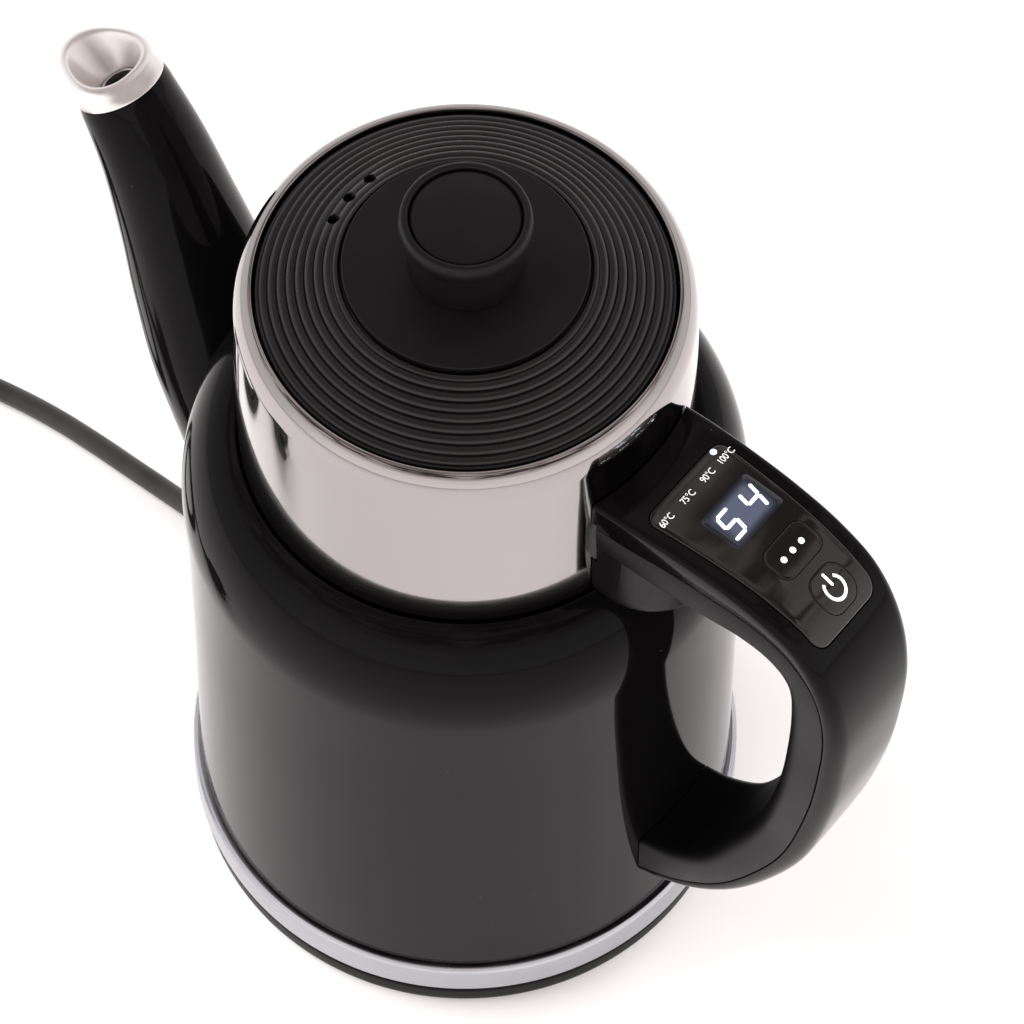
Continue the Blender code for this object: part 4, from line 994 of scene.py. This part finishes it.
def flat_mark(name, outlines, look, body, height):
    """Thin printed mark made of closed outlines laid on the handle's face."""
    bm = bmesh.new()
    for outline in outlines:
        bm.faces.new(laid(bm, outline, height))
    bmesh.ops.triangulate(bm, faces=bm.faces)
    piece = finish_mesh(name, bm, look)
    for polygon in piece.data.polygons:
        polygon.use_smooth = False
    if piece.data.polygons[0].normal.z < 0:
        piece.data.flip_normals()
    place(piece, body, slot="display")


def text_mark(name, words, centre, height):
    """Small printed figures, reading along +Y with their tops toward the lid."""
    curve = bpy.data.curves.new(name, "FONT")
    curve.body, curve.size = words, height / 0.78
    curve.align_x = curve.align_y = "CENTER"
    curve.space_character, curve.offset = 0.94, -0.014
    guide = new_object(name, curve)
    mesh = evaluated(guide)
    bpy.data.objects.remove(guide, do_unlink=True)
    for vert in mesh.vertices:
        across, up = vert.co.x * 0.86, vert.co.y
        vert.co = Vector(on_panel(centre[0] - up, centre[1] + across, MARK_HEIGHT)) * MM
    mesh.materials.clear()
    # the figures take the white print material, which carries a painted glow
    mesh.materials.append(LOOK["mark"])
    place(new_object(name, mesh), "kettle", slot="display")


SEGMENTS_OF = {"5": "afgcd", "4": "fgbc"}


def digit(name, figure, centre):
    """Seven-segment figure, leaning a little."""
    half_tall, half_wide, thick, lean = 3.45, 1.95, 0.95, 0.22
    ends = {"a": ((1, -1), (1, 1)), "b": ((1, 1), (0, 1)), "c": ((0, 1), (-1, 1)), "d": ((-1, 1), (-1, -1)),
            "f": ((0, -1), (1, -1)), "g": ((0, -1), (0, 1))}
    outlines = []
    for key in SEGMENTS_OF[figure]:
        a, b = (Vector((centre[0] - up * half_tall, centre[1] + across * half_wide + up * half_tall * lean))
                for up, across in ends[key])
        along = (b - a).normalized() * 0.55
        outlines.append(stroke(a + along, b - along, thick))
    flat_mark(name, outlines, "digit", "kettle", MARK_HEIGHT)


def marks():
    """Temperatures, the lit dot, the display, the mode dots and the power symbol."""
    for number, (words, w) in enumerate((("60°C", -11), ("75°C", -2.9), ("90°C", 4.7), ("100°C", 11.7))):
        text_mark(f"temperature_{number + 1}", words, (69.9, w), 2)
    flat_mark("lit_dot", [dot((66.9, 10.7), 0.85)], "digit", "kettle", MARK_HEIGHT)
    digit("figure_tens", "5", (82.2, -2.3))
    digit("figure_units", "4", (82.2, 6.2))
    glow()
    # the mode dots and the power symbol are white print with a painted glow
    for number, w in enumerate((-1.4, 2, 5.3)):
        flat_mark(f"mode_dot_{number + 1}", [dot((97, w), 0.8)], "mark", "mode_key", KEY_MARK_HEIGHT)
    u, w = POWER_KEY[0][0] + 0.2, POWER_KEY[0][1] + 0.4
    sweep = [radians(40 + 7 * i) for i in range(41)]
    ring = [(u - r * cos(a), w + r * sin(a)) for r, row in ((3.05, sweep), (2.3, sweep[::-1])) for a in row]
    outlines = [ring, stroke((u - 3.6, w), (u - 0.9, w), 0.75)]
    flat_mark("power_symbol", outlines, "mark", "switch_key", KEY_MARK_HEIGHT)


def dot(centre, radius):
    """Round mark."""
    return [(centre[0] + radius * cos(t), centre[1] + radius * sin(t)) for t in full_turn(24)]


def glow():
    """Soft blue light of the display behind the smoked window."""
    made = shader("display_glow", (0.01, 0.011, 0.016), 0.08, Emission_Color=(0.42, 0.48, 0.7, 1))
    tree = made.node_tree
    spot = add(tree, "SeparateXYZ", {"Vector": add(tree, "TexCoord", {}).outputs["Object"]})
    light = 0.24
    for axis, middle, half in (("X", 82, 5.6), ("Y", 2, 8.4)):
        away = add(tree, "Math", {0: spot.outputs[axis], 1: middle * MM}, operation="SUBTRACT")
        far = add(tree, "Math", {0: away.outputs[0]}, operation="ABSOLUTE")
        fade = remap(tree, far.outputs[0], half * 0.55 * MM, half * MM, 1, 0)
        light = add(tree, "Math", {0: light, 1: fade}, operation="MULTIPLY").outputs[0]
    feed(made, "Emission Strength", light)
    LOOK["glow"] = made
    outline = subdivided(key_outline((82, 2), (11.6, 17.6, 1), 0), 1)
    levels = [(0, LENS_PROUD + 0.002), (0.01, LENS_PROUD + 0.01)]
    place(plate("display_light", outline, levels, "glow", 0, 6), "kettle", slot="display")


# ---------- lid
RIBS = 8
RIB_START, RIB_END = (49.2, LID_EDGE), (31.4, 259.6)


def vents(radius, mouth=None):
    """Tools for the three steam vents, with a countersunk mouth where its radius is given."""
    tools = []
    for number in (-1, 0, 1):
        turn = radians(180 + VENT_TURN + VENT_PITCH * number)
        x, y = VENT_RADIUS * cos(turn), VENT_RADIUS * sin(turn)
        tools.append(bar("vent", (x, y, 240), (x, y, 270), radius, None, 36))
        if mouth:
            tools.append(bar("mouth", (x, y, 257.2), (x, y, 260), 0.9, None, 36, mouth))
    return tools


def lid():
    """Ribbed ring with vents, disc, plug, seal and knob."""
    ring = ribbed_ring()
    cut(ring, *vents(1.15, 2.2))
    place(ring, "lid", "lid_ring", slot="plain_black")
    fitted("centre_disc", [(2.5, 258.8), (DISC_RADIUS, 258.8), (DISC_RADIUS + 0.05, DISC_TOP, 0.5),
                           (2.5, DISC_TOP)], "soft", "lid", "lid_disc", "soft_black")
    liner = turned("lid_plug", [
        (2.5, 258.4), (29.3, 258.4), (29.6, 257.9), (47, 247.9), (47, 245.5), (45, 245.5),
        (45, 242.6), (47, 242.6, 0.3), (47, 236, 1), (44.8, 236, 0.6), (44.8, 246.4, 2),
        (28.6, 256, 2), (2.5, 256)], "inner", 120)
    cut(liner, *vents(1.2))
    place(liner, "lid", "lid_liner", slot="plain_black")
    fitted("silicone_ring", [(45.3, 242.9), (48.4, 242.9, 0.4), (50.3, 244.4, 0.4), (48.6, 245.2, 0.4),
                             (45.3, 245.2)], "seal", "lid", "lid_seal", "rubber", 120)
    knob()


def ribbed_ring():
    """Ring with rounded beads; the inner beads fade out round the vents."""
    start, end = Vector(RIB_START), Vector(RIB_END)
    along = end - start
    up = Vector((along.y, -along.x)).normalized()
    fixed = [(29.9, 258.4), (47.6, 248.2), (LID_RADIUS - 0.1, 248.2), (LID_RADIUS, 248.4),
             (LID_RADIUS, LID_EDGE - 0.6), (LID_RADIUS - 0.15, LID_EDGE - 0.15), (LID_RADIUS - 0.4, LID_EDGE)]
    last = [(31.1, 260), (30.6, 260.25), (30.15, 260.2), (29.92, 259.9)]
    rings = []
    for a in full_turn(FINE * 2):
        off = abs((a * 180 / pi - VENT_TURN) % 360 - 180)
        sector = 1 - min(1, max(0, (off - 14) / 14))
        sector = sector * sector * (3 - 2 * sector)
        beads = []
        for i in range(RIBS * 12 + 1):
            share = i / (RIBS * 12)
            plain = sector * min(1, max(0, (share - 0.58) / 0.12))
            rise = 0.72 * abs(sin(pi * (share * RIBS % 1))) ** 0.75 * (1 - 0.5 * plain) + 0.1 * plain
            beads.append(tuple(start + along * share + up * rise))
        rings.append([(r * cos(a), r * sin(a), z) for r, z in fixed + beads + last])
    return lofted("ribbed_ring", rings, "lid", hollow=True, crease=50)


def knob():
    """Mushroom knob with its inlaid cap and the screw under it."""
    foot = DISC_TOP + 0.25
    fitted("knob_moulding", [
        (0, 279.2), (13.3, 279.2, 0.3), (13.35, 280.9, 0.3), (14, 281.55, 0.6), (15.1, 281.2, 0.9),
        (15.75, 279, 1.4), (15.4, 276.4, 1.2), (14.55, 274.7, 0.7), (13.75, 274.1, 0.6),
        (13.55, 271, 2), (13.55, 266, 2), (13.7, foot, 0.4), (2.2, foot), (2.2, 273), (0, 273)],
        "soft", "lid", "knob", "soft_black", 128)
    fitted("knob_inlay", [(0, 281.55), (6, 281.45), (10, 281.15), (12.5, 280.75, 0.5),
                          (13.05, 280.2, 0.3), (13.05, 279.5), (0, 279.5)],
           "soft", "lid", "knob_cap", "soft_black", 128)
    screw("knob_fixing", (0, 0, 255.7), (0, 0, -1), 4.1, "lid", "knob_screw", 14)


# ---------- make everything
stage()
lead()
power_base()
kettle_body()
spout()
handle()
control_window()
lid()
